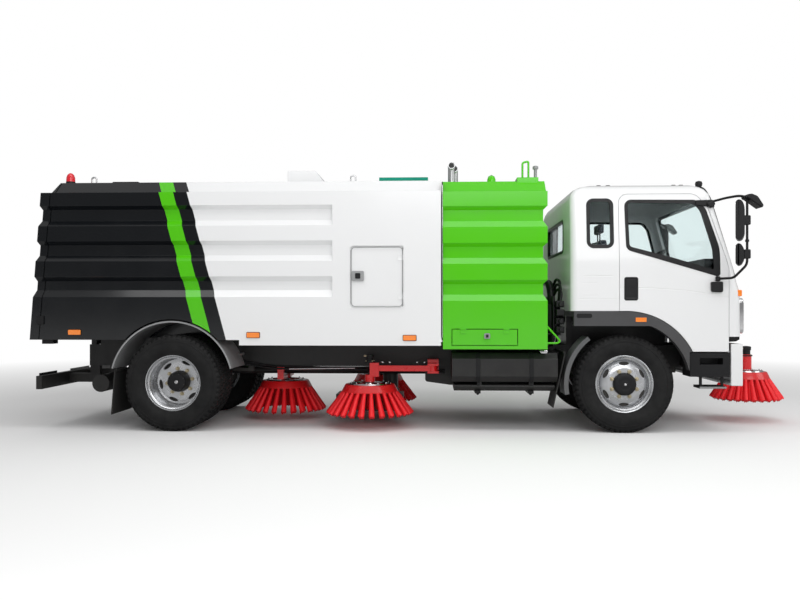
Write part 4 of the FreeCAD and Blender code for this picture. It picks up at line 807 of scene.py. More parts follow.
def wheel_nuts(name, out, first=22.5):
    """Eight nuts with their studs on the disc's face, at the given distance out."""
    nuts = []
    for i in range(8):
        angle = math.radians(first + 45 * i)
        x, z = STUD_CIRCLE * math.cos(angle), STUD_CIRCLE * math.sin(angle)
        washer = bar("washer", (x, -out + 0.002, z), (x, -out - 0.004, z), 0.021, 20)
        nut = bar("nut", (x, -out, z), (x, -out - 0.026, z), 0.0185, 6, 0.0015)
        stud = bar("stud", (x, -out - 0.02, z), (x, -out - 0.036, z), 0.0105, 14, 0.002)
        nuts += [washer, nut, stud]
    return join(name, *nuts)


def rim_profile(flange_in, flange_out, disc):
    """A rim's closed section: its outboard face from flange to disc, and the same wall behind it."""
    flange = [(flange_out - a, r) for a, r in (
        (0.012, 0.2985), (0.003, 0.2975), (0, 0.292), (0.002, 0.285), (0.010, 0.279), (0.020, 0.276),
        (0.028, 0.268), (0.032, 0.259), (0.045, 0.256))]
    back = [(a - 0.009, r - 0.003) for a, r in reversed(disc)]
    barrel = [(flange_in + a, r) for a, r in (
        (0.05, 0.262), (0.012, 0.268), (0, 0.278), (-0.002, 0.292), (0.006, 0.298), (0.014, 0.2985),
        (0.018, 0.286), (0.06, 0.278))]
    return flange + disc + back + barrel + [(flange_out - 0.06, 0.278), (flange_out - 0.018, 0.286)]


def make_wheels():
    """Makes each part of the right-hand wheels about the origin, then copies it into place on both sides."""
    def spun(name, profile, steps, angle=35):
        return lathe(name, [(-a, r) for a, r in profile], steps=steps, angle=angle)

    tyre = make_tyre()
    front_disc = [(0.042, 0.253), (0.040, 0.249), (0.050, 0.243), (0.064, 0.232), (0.077, 0.216),
                  (0.087, 0.198), (0.094, 0.178), (0.0975, 0.166), (0.098, 0.160), (0.098, 0.115)]
    front_rim = spun("front_rim", rim_profile(-0.10, 0.112, front_disc), 96, 28)
    hand_holes(front_rim, -0.075, 0.12)
    soften(front_rim, 0, angle=28)
    drum = spun("front_drum", [(0.06, 0.11), (0.05, 0.245), (-0.07, 0.245), (-0.07, 0.06), (0.06, 0.06)], 64)
    front_nuts = wheel_nuts("front_nuts", 0.098)
    front_cap = spun("front_hub_cap", [(0.090, 0.119), (0.101, 0.1195), (0.128, 0.117), (0.142, 0.111),
                                       (0.149, 0.100), (0.150, 0.070), (0.147, 0.060), (0.147, 0.045),
                                       (0.150, 0.036), (0.150, 0.0), (0.090, 0.0)], 72)
    front_boss = spun("front_hub_boss", [(0.148, 0.0), (0.148, 0.014), (0.155, 0.013), (0.158, 0.008),
                                         (0.159, 0.0)], 32)

    rear_disc = [(0.100, 0.253), (0.060, 0.252), (0.040, 0.248), (0.026, 0.240), (0.019, 0.220), (0.016, 0.200),
                 (0.016, 0.115)]
    rear_rim = spun("rear_rim", rim_profile(0.055, 0.257, rear_disc), 96, 28)
    hand_holes(rear_rim, -0.02, 0.08, 0.206, first=10)
    soften(rear_rim, 0, angle=28)
    inner_rim = copy_of(rear_rim, "inner_rim", mirror=True)
    rear_drum = spun("rear_drum", [(-0.02, 0.11), (-0.03, 0.240), (-0.18, 0.240), (-0.18, 0.07), (-0.02, 0.07)], 64)
    rear_nuts = wheel_nuts("rear_nuts", 0.016, first=10)
    rear_hub = spun("rear_hub", [(0.010, 0.112), (0.070, 0.111), (0.085, 0.105), (0.125, 0.101), (0.138, 0.094),
                                 (0.142, 0.080), (0.142, 0.030), (0.138, 0.026), (0.138, 0.0), (0.010, 0.0)], 72)
    hub_bolts = ring_of(bar("hub_bolt", (0.086, -0.140, 0), (0.086, -0.149, 0), 0.006, 6), "rear_hub_bolts", 8,
                        ORIGIN, "Y", 0.3)
    rear_boss = spun("rear_hub_boss", [(0.137, 0.0), (0.137, 0.020), (0.146, 0.018), (0.149, 0.011),
                                       (0.149, 0.0)], 32)

    # body, place along, place across, and its parts: form, name, finish, shift outboard, nodes it stands for
    axles = (
        ("wheel_front", FRONT_AXLE, FRONT_MIDDLE, (
            (tyre, "front_tyre", "tyre_rubber", 0, "tyre_front"),
            (front_rim, "front_wheel", "wheel_silver", 0, "rim_front"),
            (drum, "front_brake_drum", "cast_axle", 0),
            (front_nuts, "front_wheel_nuts", "brass", 0),
            (front_cap, "front_hub_cap", "dark_plastic", 0),
            (front_boss, "front_hub_boss", "bright_steel", 0))),
        ("wheels_rear", REAR_AXLE, TWIN_MIDDLE, (
            (tyre, "rear_tyre_outer", "tyre_rubber", TWIN_HALF, "tyres_rear"),
            (tyre, "rear_tyre_inner", "tyre_rubber", -TWIN_HALF, "tyres_rear"),
            (rear_rim, "rear_wheel_outer", "wheel_silver", 0, "rims_rear"),
            (inner_rim, "rear_wheel_inner", "wheel_silver", 0),
            (rear_drum, "rear_brake_drum", "cast_axle", 0),
            (rear_nuts, "rear_wheel_nuts", "brass", 0),
            (rear_hub, "rear_hub", "dark_plastic", 0),
            (hub_bolts, "rear_hub_bolts", "cast_axle", 0),
            (rear_boss, "rear_hub_boss", "bright_steel", 0))),
    )
    for side, sign in SIDES:
        for body, x, middle, parts in axles:
            for form, name, finish, outboard, *nodes in parts:
                twin = copy_of(form, name + "_" + side, mirror=sign > 0)
                slide(twin, (x, sign * (middle + outboard), AXLE_UP))
                put(twin, body + "_" + side, finish, *[node + "_" + side for node in nodes])
    for form in dict.fromkeys(part[0] for axle in axles for part in axle[3]):
        bpy.data.objects.remove(form)


# ---- brushes ----

def bundle(name, top, tip, top_radius, tip_radius, sides=18):
    """A flared, fluted bundle of bristles with a ragged end."""
    top, tip = Vector(top), Vector(tip)
    way = (tip - top).normalized()
    piece = bar(name, top, tip, top_radius, sides, tip=tip_radius)
    far = (tip - top).length
    across = way.cross(Vector((0, 0, 1))).normalized()
    other = way.cross(across)

    def lengthwise(edge):
        start, end = [piece.data.vertices[i].co for i in edge.vertices]
        return abs((start - end).dot(way)) > far * 0.5

    def side_of(vertex):
        """Which of the bundle's sides the point lies on, counted round it."""
        off = vertex.co - top
        return round(math.atan2(off.dot(other), off.dot(across)) / math.tau % 1.0 * sides)

    choose(piece, lengthwise, "edges")
    bpy.ops.mesh.subdivide(number_cuts=2)
    close_mesh()
    choose(piece, lambda vertex: side_of(vertex) % 2 == 0, "vertices")
    bpy.ops.transform.shrink_fatten(value=-tip_radius * 0.16)
    close_mesh()
    choose(piece, lambda vertex: (vertex.co - top).dot(way) > far * 0.95 and side_of(vertex) % 3 == 0, "vertices")
    bpy.ops.transform.translate(value=way * 0.011)
    close_mesh()
    pick(piece)
    smooth(50)
    return piece


def make_brush(name, x, y, radius, low, disc):
    """Red ring with two rows of bristle bundles, a steel plate and its bolts on top."""
    rows = (
        # count, ring share, tip share, drop at the ring, turn
        (26, 0.56, 0.920, 0.035, 0.0),
        (20, 0.46, 0.76, 0.030, 0.12),
    )
    bundles = []
    for i, (count, inner, outer, drop, turn) in enumerate(rows):
        first = bundle("bundle", (radius * inner, 0, disc - drop), (radius * outer, 0, low + 0.010), 0.017, 0.031)
        bundles.append(ring_of(first, "%s_row_%d" % (name, i), count, ORIGIN, "Z", turn))
    bristles = join(name + "_bristles", *bundles)
    slide(bristles, (x, y, 0))
    put(bristles, name, "red_bristle", name)

    def turned(part, profile, steps):
        """A part from heights over the disc and shares of the brush's radius."""
        return lathe(name + part, [(disc + up, radius * share) for up, share in profile], (x, y, 0), "Z", steps)

    put(turned("_ring", [(0.018, 0.44), (0.028, 0.50), (0.024, 0.545), (0.010, 0.565), (-0.046, 0.625),
                         (-0.056, 0.62), (-0.056, 0.60), (-0.030, 0.52), (-0.030, 0.10), (0.018, 0.10)], 72),
        name, "red_paint")
    plate_ring = turned("_plate", [(0.024, 0.36), (0.036, 0.37), (0.036, 0.455), (0.024, 0.465)], 64)
    bolts = ring_of(bar("bolt", (x + radius * 0.41, y, disc + 0.034), (x + radius * 0.41, y, disc + 0.05), 0.008, 6),
                    name + "_bolts", 10, (x, y, 0), "Z", 0.2)
    hub = lathe(name + "_hub", [(disc + 0.016, 0.02), (disc + 0.016, 0.075), (disc + 0.026, 0.075),
                                (disc + 0.032, 0.045), (disc + 0.050, 0.045), (disc + 0.050, 0.02)],
                (x, y, 0), "Z", 40)
    put(join(name + "_clamp", plate_ring, bolts, hub), name, "bright_steel")


SIDE_BRUSH, FRONT_BRUSH_X = (-0.576, 0.72), 3.712  # along, and out to either side


def make_brushes():
    side_x, side_y = SIDE_BRUSH
    # name, along, across, radius, bottom, disc height
    brushes = (
        ("side_brush_right", side_x, -side_y, 0.488, 0.150, 0.445),
        ("side_brush_left", side_x, side_y, 0.488, 0.150, 0.445),
        ("centre_brush", -1.627, 0.0, 0.488, 0.105, 0.425),
        ("front_brush", FRONT_BRUSH_X, 0.0, 0.406, 0.250, 0.540),
    )
    for brush in brushes:
        make_brush(*brush)


# ---- cab ----

WALL = 0.055
CAB_SIDE = -1.130  # the cab's right-hand face below the windows
TILT_X = 3.200
ARCH_RADIUS, DOOR_GAP = 0.757, 0.0045
CAB_LEVELS = (
    # height, rear, front, half width
    (0.843, 1.527, 3.265, 1.130), (1.450, 1.527, 3.258, 1.130), (1.560, 1.527, 3.225, 1.130),
    (1.721, 1.527, 3.185, 1.130), (1.800, 1.527, 3.162, 1.130), (2.420, 1.527, 2.980, 1.070),
    (2.470, 1.541, 2.966, 1.055), (2.520, 1.571, 2.930, 1.025), (2.556, 1.640, 2.893, 0.965),
    (2.583, 1.740, 2.840, 0.870), (2.598, 1.827, 2.700, 0.710),
)
EAVES = 2.420
# Outlines of (along, up, corner radius).
DOOR = ((2.015, 0.843, 0.02), (3.125, 0.843, 0.02), (3.125, 1.700, 0.05), (3.100, 1.790, 0.10), (2.925, 2.330, 0.15),
        (2.800, 2.472, 0.12), (2.015, 2.472, 0.10))
DOOR_WINDOW = ((2.100, 1.905, 0.06), (2.541, 1.788, 0.3), (2.998, 1.650, 0.04), (2.985, 1.905, 0.4),
               (2.870, 2.313, 0.2), (2.790, 2.390, 0.08), (2.086, 2.400, 0.06))
DOOR_WINDOW_TRIM = ((2.088, 1.890, 0.07), (2.541, 1.754, 0.3), (3.036, 1.606, 0.03), (3.030, 1.905, 0.4),
                    (2.900, 2.322, 0.15), (2.805, 2.404, 0.08), (2.076, 2.410, 0.07))
QUARTER_WINDOW = oblong((1.700, 1.954), (1.918, 2.412), 0.06)
WINDSCREEN = ((-1.000, 1.760, 0.10), (1.000, 1.760, 0.10), (0.940, 2.430, 0.10), (-0.940, 2.430, 0.10))
REAR_WINDOW = oblong((-0.600, 0.600), (1.900, 2.250), 0.06)


def cab_solid(name, inset=0.0, foot=0.0):
    """The cab as one loft of level outlines with rounded corners; inset makes the space inside."""
    levels = []
    for z, rear, front, half in CAB_LEVELS:
        drop = inset * max(z - EAVES, 0.0) / (CAB_LEVELS[-1][0] - EAVES)
        levels.append((z - drop, rear + inset, front - inset, half - inset))
    z, rear, front, half = levels[0]
    outline = rounded([(rear, -half, 0.07), (front, -half, 0.10), (front, half, 0.10), (rear, half, 0.07)], steps=7)
    piece = line(name, [(a, b, z - foot) for a, b in outline])
    select_mesh()
    bpy.ops.mesh.edge_face_add()
    z -= foot
    for next_z, next_rear, next_front, next_half in levels[1:]:
        middle, next_middle = (rear + front) / 2, (next_rear + next_front) / 2
        bpy.ops.mesh.extrude_region_move(TRANSFORM_OT_translate={"value": (next_middle - middle, 0, next_z - z)})
        bpy.ops.transform.resize(value=((next_front - next_rear) / (front - rear), next_half / half, 1),
                                 center_override=(next_middle, 0, next_z))
        z, rear, front, half = next_z, next_rear, next_front, next_half
    face_out()
    return piece


def cab_section(height):
    """Rear, front and half width of the cab at a height."""
    for (low, *first), (high, *second) in zip(CAB_LEVELS, CAB_LEVELS[1:]):
        if height <= high:
            share = max(0.0, (height - low) / (high - low))
            return [a + (b - a) * share for a, b in zip(first, second)]
    return CAB_LEVELS[-1][1:]


def line_inside(piece):
    """Pale lining on the faces that look into the cab."""
    piece.data.materials.append(FINISHES["lining"])
    depth = WALL * 0.6
    for face in piece.data.polygons:
        rear, front, half = cab_section(face.center.z)
        inside = abs(face.center.y) < half - depth and rear + depth < face.center.x < front - depth
        face.material_index = int(inside and 1.2 < face.center.z < 2.56)
    return piece


def through(plane, corners, grow=0.0):
    """A cutter with a rounded outline, right through the cab across a plane."""
    spans = {"XZ": (-FAR, FAR), "YZ": (2.6, 3.4)}
    return plate("cutter", plane, rounded(corners, grow), *spans[plane])


def rear_window(grow=0.0):
    return plate("cutter", "YZ", rounded(REAR_WINDOW, grow), 1.4, 1.7)


def wheel_room(radius):
    return bar("wheel_room", (FRONT_AXLE, -FAR, AXLE_UP), (FRONT_AXLE, FAR, AXLE_UP), radius, 128)


def one_side(piece, name, sign):
    """The part of a piece that lies on one side of the vehicle."""
    half = copy_of(piece, name)
    drop_faces(half, lambda face: face.center.y * sign < 0)
    return half


def make_cab():
    """The cab's shell and its two doors, cut from one loft, and the floor they stand on."""
    shell = carve(cab_solid("cab_skin"), cab_solid("cab_room", WALL, foot=0.08))
    carve(shell, wheel_room(ARCH_RADIUS))
    carve(shell, block("cutter", (1.4, -FAR, 0.6), (FRONT_AXLE, FAR, 1.262)))
    doors = copy_of(shell, "door_pair")
    carve(shell, block("cutter", (3.1245, -FAR, 0.6), (3.4, FAR, 1.0)))
    carve(shell, through("XZ", DOOR))
    carve(doors, through("XZ", DOOR, -DOOR_GAP), "INTERSECT")
    drop_faces(doors, lambda face: abs(face.center.y) < 0.5)
    carve(shell, through("YZ", WINDSCREEN))
    carve(shell, rear_window())
    carve(shell, through("XZ", QUARTER_WINDOW))
    carve(doors, through("XZ", DOOR_WINDOW))

    # Creases pressed into the doors and the panel behind them.
    crease = [(2.00, 1.500), (2.35, 1.495), (2.70, 1.470), (2.95, 1.435), (3.14, 1.395)]
    for _, sign in SIDES:
        y = sign * 1.132
        carve(doors, pipe("cutter", [(x, y, z) for x, z in crease], 0.005))
        for z, start, end in ((1.622, 1.655, 1.955), (1.545, 1.640, 1.800), (1.420, 1.640, 1.800)):
            carve(shell, pipe("cutter", [(start, y, z), ((start + end) / 2, y, z), (end, y, z)], 0.005, 0.02))
        carve(shell, pipe("cutter", [(1.60, y, 1.385), (1.85, y, 1.385), (2.015, y, 1.382)], 0.0045, 0.02))
    soften(shell, 0.003, angle=50)
    line_inside(put(shell, "cab", "white_paint", "cab_shell"))
    for side, sign in SIDES:
        leaf = soften(one_side(doors, "door_leaf_" + side, sign), 0.003, angle=50)
        line_inside(put(leaf, "door_" + side, "white_paint", "door_" + side))
    bpy.data.objects.remove(doors)

    floor = block("cab_floor", (1.560, -1.072, 1.204), (3.200, 1.072, 1.262))
    carve(floor, wheel_room(ARCH_RADIUS - 0.010))
    tunnel = block("tunnel", (1.590, -0.31, 1.257), (2.700, 0.31, 1.322), 0.02)
    lugs = [block("tilt_lug", (TILT_X - 0.028, y - 0.022, 0.932), (TILT_X + 0.028, y + 0.022, 1.21), 0.006)
            for y in (-0.32, 0.32)]
    put(join("cab_floor", floor, tunnel, *lugs), "cab", "cab_trim")


def make_seals():
    """Black rubber round every window, following the skin, and a strip on each windscreen pillar."""
    zone = carve(cab_solid("seal_zone", -0.004), cab_solid("cutter", 0.024, foot=0.08))
    # name, plane, outline, outer edge and how far it grows, body; on the cab a seal keeps its blank's name
    seals = (("door_window_seal", "XZ", DOOR_WINDOW, DOOR_WINDOW_TRIM, 0.0, "door"),
             ("quarter_window_seal", "XZ", QUARTER_WINDOW, QUARTER_WINDOW, 0.012, "cab"),
             ("windscreen_seal", "YZ", WINDSCREEN, WINDSCREEN, 0.007, "cab"))
    for name, plane, corners, outer, grow, body in seals:
        ring = through(plane, outer, grow)
        carve(ring, through(plane, corners, -0.024))
        carve(ring, zone, "INTERSECT", keep=True)
        if body == "cab":
            put(soften(ring, 0.002, angle=50), "cab", "dark_plastic")
            continue
        for side, sign in SIDES:
            part = soften(one_side(ring, name + "_" + side, sign), 0.002, angle=50)
            put(part, "door_" + side, "dark_plastic")
        bpy.data.objects.remove(ring)
    bpy.data.objects.remove(zone)
    rear = plate("rear_window_seal", "YZ", rounded(REAR_WINDOW, 0.012), 1.523, 1.556, 0.003)
    put(carve(rear, rear_window(-0.022)), "cab", "dark_plastic")
    for side, sign in SIDES:
        strip = pipe("pillar_strip_" + side, [(3.205, sign * 1.062, 1.600), (3.170, sign * 1.056, 1.735),
                                              (2.968, sign * 0.998, 2.450), (2.905, sign * 0.960, 2.530)], 0.009,
                     0.04)
        put(strip, "cab", "dark_plastic")


def both_doors(piece, finish, *nodes):
    """Puts a right-hand piece on the right door and its mirrored twin on the left one."""
    name = piece.name
    left = copy_of(piece, name + "_left", mirror=True)
    piece.name = name + "_right"
    for twin, (side, _) in zip((piece, left), SIDES):
        put(twin, "door_" + side, finish, *[node + "_" + side for node in nodes])


def make_door_fittings():
    """Recessed handles with their locks, and the lamp boxes, on both doors."""
    recess = plate("handle_frame", "XZ", rounded(oblong((2.066, 2.208), (1.369, 1.610), 0.022)), CAB_SIDE - 0.004,
                   CAB_SIDE + 0.02, 0.003)
    carve(recess, plate("cutter", "XZ", rounded(oblong((2.080, 2.196), (1.400, 1.596), 0.02)), CAB_SIDE - 0.02,
                        CAB_SIDE + 0.012))
    paddle = plate("handle_paddle", "XZ", rounded(oblong((2.092, 2.184), (1.505, 1.588), 0.012)), CAB_SIDE - 0.003,
                   CAB_SIDE + 0.013, 0.004)
    lock = bar("handle_lock", (2.137, CAB_SIDE - 0.003, 1.432), (2.137, CAB_SIDE + 0.014, 1.432), 0.011, 20, 0.002)
    backing = plate("handle_back", "XZ", rounded(oblong((2.070, 2.204), (1.373, 1.606), 0.02)), CAB_SIDE - 0.0015,
                    CAB_SIDE + 0.006)
    both_doors(join("door_handle", recess, paddle, backing), "dark_plastic")
    both_doors(lock, "dark_plastic")
    side_lamp = plate("side_lamp_box", "XZ", rounded(((2.934, 1.455, 0.02), (3.052, 1.451, 0.02),
                                                      (3.052, 1.560, 0.012), (2.934, 1.560, 0.012))),
                      CAB_SIDE - 0.045, CAB_SIDE + 0.002, 0.012, 3)
    both_doors(side_lamp, "dark_plastic")


MIRROR_TURN = math.radians(-21)


def make_mirrors():
    """Tube frame, two rounded heads with their glass, clamps and a kerb mirror, on each door."""
    post_x, post_y = 3.195, -1.42
    tube = pipe("mirror_tube", [(2.945, -1.062, 2.378), (3.050, -1.250, 2.398), (3.130, -1.380, 2.402),
                                (post_x, post_y, 2.385), (post_x, post_y, 1.720), (3.110, -1.290, 1.592),
                                (3.005, -1.142, 1.590)], 0.0125, 0.045)
    low_ball = bar("mirror_ball", (3.003, -1.152, 1.563), (3.003, -1.152, 1.615), 0.024, 24, 0.010)
    nub = bar("mirror_joint", (post_x, post_y, 1.942), (post_x, post_y, 1.966), 0.019, 20, 0.003)
    clamps = [plate("mirror_clamp", "XZ", rounded(oblong((3.158, 3.222), (z, z + high), 0.012)), -1.450, -1.385,
                    0.008) for z, high in ((2.108, 0.094), (1.776, 0.092))]
    # name, outline, inner and outer level, rounding of its edges and the steps in it
    shapes = (
        ("mirror_root", ((2.800, 2.345, 0.01), (2.935, 2.330, 0.01), (2.990, 2.322, 0.01), (2.980, 2.402, 0.02),
                         (2.800, 2.398, 0.01)), -1.098, -1.030, 0.006, 2),
        ("mirror_elbow", ((2.885, 2.352, 0.02), (2.957, 2.312, 0.02), (2.990, 2.352, 0.02), (2.970, 2.402, 0.02)),
         -1.130, -1.06, 0.012, 3),
        ("kerb_mirror_shell", ((3.110, 2.392, 0.02), (3.215, 2.408, 0.03), (3.270, 2.385, 0.05), (3.330, 2.292, 0.02),
                               (3.312, 2.268, 0.012), (3.190, 2.358, 0.04)), -1.500, -1.340, 0.014, 3),
        ("mirror_shell", ((3.092, 1.957, 0.03), (3.150, 1.957, 0.04), (3.173, 2.020, 0.12), (3.173, 2.290, 0.12),
                          (3.145, 2.352, 0.04), (3.092, 2.352, 0.03)), -1.520, -1.330, 0.020, 4),
        ("mirror_low_shell", ((3.092, 1.710, 0.03), (3.140, 1.710, 0.04), (3.168, 1.765, 0.06), (3.168, 1.870, 0.06),
                              (3.140, 1.925, 0.04), (3.092, 1.925, 0.03)), -1.510, -1.340, 0.026, 4),
    )
    root, elbow, kerb, main_head, low_head = [plate(name, "XZ", rounded(corners), *rest)
                                              for name, corners, *rest in shapes]

    def towards_driver(piece):
        name = piece.name
        turned = copy_of(piece, name, turn=("Z", MIRROR_TURN), about=(post_x, post_y, 0))
        bpy.data.objects.remove(piece)
        turned.name = name
        return turned

    heads = [towards_driver(head) for head in (main_head, low_head)]
    both_doors(join("mirror_arms", tube, root, elbow, low_ball, nub, *clamps), "dark_plastic", "mirror")
    both_doors(join("mirror_shells", *heads, kerb), "dark_plastic", "mirror")
    faces = [plate("mirror_glass", "YZ", rounded(oblong((-1.503, -1.347), (low, high), 0.03)), 3.0895, 3.094,
                   0.001) for low, high in ((1.976, 2.333), (1.728, 1.907))]
    both_doors(join("mirror_faces", *[towards_driver(face) for face in faces]), "mirror_face")


# ---- body, roof and chassis details ----

ROOF, BAY_ROOF, FLANK_LOW = 2.640, 2.626, 0.985
LID_REAR, BOX_FRONT, BOX_SHIFT = -0.56, -0.86, 0.055


def face_plate(name, along, up, out, depth=0.014, corner=0.012, bevel=0.003):
    """A small plate on the right-hand flank: its span along and up, and how far out its face stands."""
    return plate(name, "XZ", rounded(oblong(along, up, corner)), out, out + depth, bevel)


def latch(name, body, along, up, face, grip_along, grip_up, bevel):
    """A latch plate on the right-hand flank with its handle."""
    put(face_plate(name, along, up, face - 0.008, 0.012), body, "silver_guard")
    put(face_plate(name + "_handle", grip_along, grip_up, face - 0.016, 0.012, bevel), body, "dark_plastic")


def make_side_fittings():
    """Side markers, the latches of the service door and the flap, and the guard rod behind the flap."""
    for i, x in enumerate((-3.635, -1.752, -0.130)):
        z = FLANK_LOW + 0.027 * (2 - i)
        put(face_plate("side_marker_base_%d" % i, (x - 0.072, x + 0.072), (z - 0.032, z + 0.032), SKIN - 0.006),
            "hopper", "dark_plastic")
        put(face_plate("side_marker_%d" % i, (x - 0.066, x + 0.066), (z - 0.026, z + 0.026), SKIN - 0.016, 0.014,
                       0.008), "hopper", "orange_lens")
    latch("service_latch", "service_door", (-0.726, -0.600), (1.572, 1.674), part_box("service_door")[0][1],
          (-0.690, -0.636), (1.594, 1.652), 0.010)
    latch("flap_latch", "compartment_flap", (0.633, 0.693), (0.978, 1.034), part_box("compartment_flap")[0][1],
          (0.650, 0.676), (0.990, 1.022), 0.006)
    rod = pipe("guard_rod", [(1.272, -1.150, 1.112), (1.345, -1.155, 1.030), (1.415, -1.150, 0.953),
                             (1.392, -1.150, 0.932), (1.272, -1.150, 0.932)], 0.010)
    put(rod, "chassis", "green_paint")


def upright(name, profile, place, steps, lift=0.0):
    """A round part with an upright axis, from its heights over the lift and its radii."""
    return lathe(name, [(lift + up, radius) for up, radius in profile], (*place, 0), "Z", steps)


def make_roof_fittings():
    """Beacon, lifting eyes, hatch, lid hinges, and the two colours of the fittings on the hopper's roof."""
    beacon = (-3.826, -0.86)
    put(upright("beacon_base", [(-0.010, 0.0), (-0.010, 0.050), (0.018, 0.049), (0.026, 0.046), (0.026, 0.0)],
                beacon, 40, ROOF), "hopper", "dark_plastic")
    put(upright("beacon_dome", [(0.024, 0.0), (0.024, 0.047), (0.068, 0.045), (0.098, 0.035), (0.114, 0.018),
                                (0.121, 0.0)], beacon, 40, ROOF), "hopper", "red_lens")
    foot, top, half = ROOF - 0.004, ROOF + 0.080, 0.026
    for x in (-3.59, -0.75):
        for y in (-0.80, 0.80):
            eye = pipe("lifting_eye", [(x - half, y, foot), (x - half, y, top), (x + half, y, top),
                                       (x + half, y, foot)], 0.009, 0.025)
            put(eye, "hopper", "bright_steel")
    fittings = bpy.data.objects["hopper_roof_fittings_skin"]
    fittings.data.materials.append(FINISHES["teal_paint"])
    for vertex in fittings.data.vertices:
        if vertex.co.x < BOX_FRONT:
            vertex.co.x += BOX_SHIFT
            vertex.co.z -= BOX_SHIFT if vertex.co.z > ROOF + 0.1 else 0.0
    for face in fittings.data.polygons:
        face.material_index = int(face.center.x > LID_REAR)
    hatch = block("roof_hatch", (-3.373, -0.850, ROOF - 0.006), (-3.084, -0.550, ROOF + 0.025), 0.010)
    put(hatch, "hopper", "dark_plastic")
    for i, x in enumerate((-0.40, -0.05)):
        put(block("lid_hinge_%d" % i, (x - 0.04, -0.362, ROOF + 0.03), (x + 0.04, -0.345, ROOF + 0.09), 0.004),
            "hopper", "bright_steel")


def make_bay_fittings():
    """Caps and posts on the engine compartment's roof, and the ends of the exhausts."""
    put(upright("filler_dome", [(-0.004, 0.0), (-0.004, 0.045), (0.030, 0.044), (0.062, 0.032), (0.080, 0.0)],
                (0.728, -0.88), 36, BAY_ROOF), "chassis", "green_paint")
    put(block("bay_hatch", (0.990, -0.960, BAY_ROOF - 0.030), (1.215, -0.740, BAY_ROOF + 0.040), 0.006), "chassis",
        "green_paint")
    post_y = -0.86
    post = pipe("bay_loop", [(1.058, post_y, BAY_ROOF), (1.058, post_y, 2.835), (1.121, post_y, 2.850),
                             (1.121, post_y, BAY_ROOF)], 0.011, 0.020)
    put(post, "chassis", "green_paint")
    foot, top = BAY_ROOF - 0.004, 2.800
    put(upright("bay_vent", [(foot, 0.0), (foot, 0.017), (top - 0.036, 0.017), (top - 0.034, 0.030),
                             (top - 0.008, 0.030), (top, 0.018), (top, 0.0)], (1.195, post_y), 32),
        "chassis", "silver_guard")
    low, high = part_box("exhaust_stacks")
    radius, top = 0.038, high[2] - 0.040
    bore = radius * 0.78
    for i, (x, y) in enumerate(((low[0] + 0.040, low[1]), (high[0] - 0.040, low[1] + 0.210))):
        end = lathe("exhaust_end_%d" % i, [(y - 0.001, bore), (y - 0.001, radius + 0.001),
                                           (y + 0.016, radius + 0.001), (y + 0.016, bore)], (x, 0, top), "Y", 36)
        put(end, "chassis", "dull_steel")
        put(bar("exhaust_throat_%d" % i, (x, y + 0.006, top), (x, y - 0.0005, top), bore, 32), "chassis",
            "chassis_paint")


TANK_STATIONS = (0.576, 1.125)


def make_tank_straps():
    """Two straps that follow the fuel tank's outline, and its filler cap."""
    low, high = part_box("fuel_tank")
    middle = (Vector(low) + Vector(high)) / 2
    for i, x in enumerate(TANK_STATIONS):
        strap = copy_of(bpy.data.objects["fuel_tank_skin"], "tank_strap_%d" % i)
        open_mesh(strap, whole=True)
        bpy.ops.transform.resize(value=(1.0, 1.018, 1.030), center_override=middle)
        close_mesh()
        carve(strap, block("cutter", (x - 0.022, -1.3, 0.3), (x + 0.022, -0.2, 1.0)), "INTERSECT")
        put(soften(strap, 0.002), "chassis", "dark_plastic")
    cap = lathe("tank_cap", [(0.0, 0.0), (0.0, 0.052), (0.020, 0.055), (0.034, 0.048), (0.036, 0.0)],
                (1.260, -1.02, high[2] - 0.004), "Z", 36)
    put(cap, "chassis", "bright_steel")


def make_bay_gap():
    """A dark sheet across the gap between the hopper and the engine compartment, which paints shade where the gap
    falls dark, and a drain pipe.
    """
    # Painted shade: this dark plate fills the whole gap, so only its dark edge shows between the hopper and the
    # engine compartment.
    strip = plate("bay_gap_shade_sheet", "YZ", [(-1.172, 0.960), (1.172, 0.960), (1.172, 2.500), (1.060, 2.610), (-1.060, 2.610),
                                     (-1.172, 2.500)], 0.200, 0.2125, 0.002)
    put(strip, "chassis", "dark_plastic")
    drain = pipe("bay_drain", [(0.206, -1.176, 0.990), (0.206, -1.178, 1.700), (0.206, -1.176, 2.560)], 0.005)
    put(drain, "chassis", "bright_steel")


def make_rear_fittings():
    """Lamp clusters with three lenses, a blank plate, and the tailgate's side latches and foot."""
    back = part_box("underrun_bar")[0][0]
    for side, sign in SIDES:
        shell, *lenses = [sorted((sign * a, sign * b))
                          for a, b in ((0.60, 1.00), (0.615, 0.735), (0.740, 0.860), (0.865, 0.985))]
        put(block("rear_lamp_shell_" + side, (back - 0.008, shell[0], 0.474), (back + 0.006, shell[1], 0.596), 0.004),
            "chassis", "dark_plastic")
        for i, (span, finish) in enumerate(zip(lenses, ("red_lens", "orange_lens", "lamp_glass"))):
            put(block("rear_lens_%s_%d" % (side, i), (back - 0.013, span[0], 0.482), (back - 0.004, span[1], 0.588),
                      0.003), "chassis", finish)
        y = sign * 1.196
        put(block("tailgate_latch_" + side, (-4.040, y - 0.012, 1.120), (-3.960, y + 0.012, 1.210), 0.006),
            "tailgate", "dark_plastic")
    put(block("tailgate_foot", (-4.020, -1.120, 0.914), (-3.900, -1.000, 0.966), 0.004), "tailgate", "dark_plastic")
    put(block("rear_plate", (back - 0.004, -0.260, 0.480), (back + 0.004, 0.260, 0.592), 0.003), "chassis",
        "silver_guard")


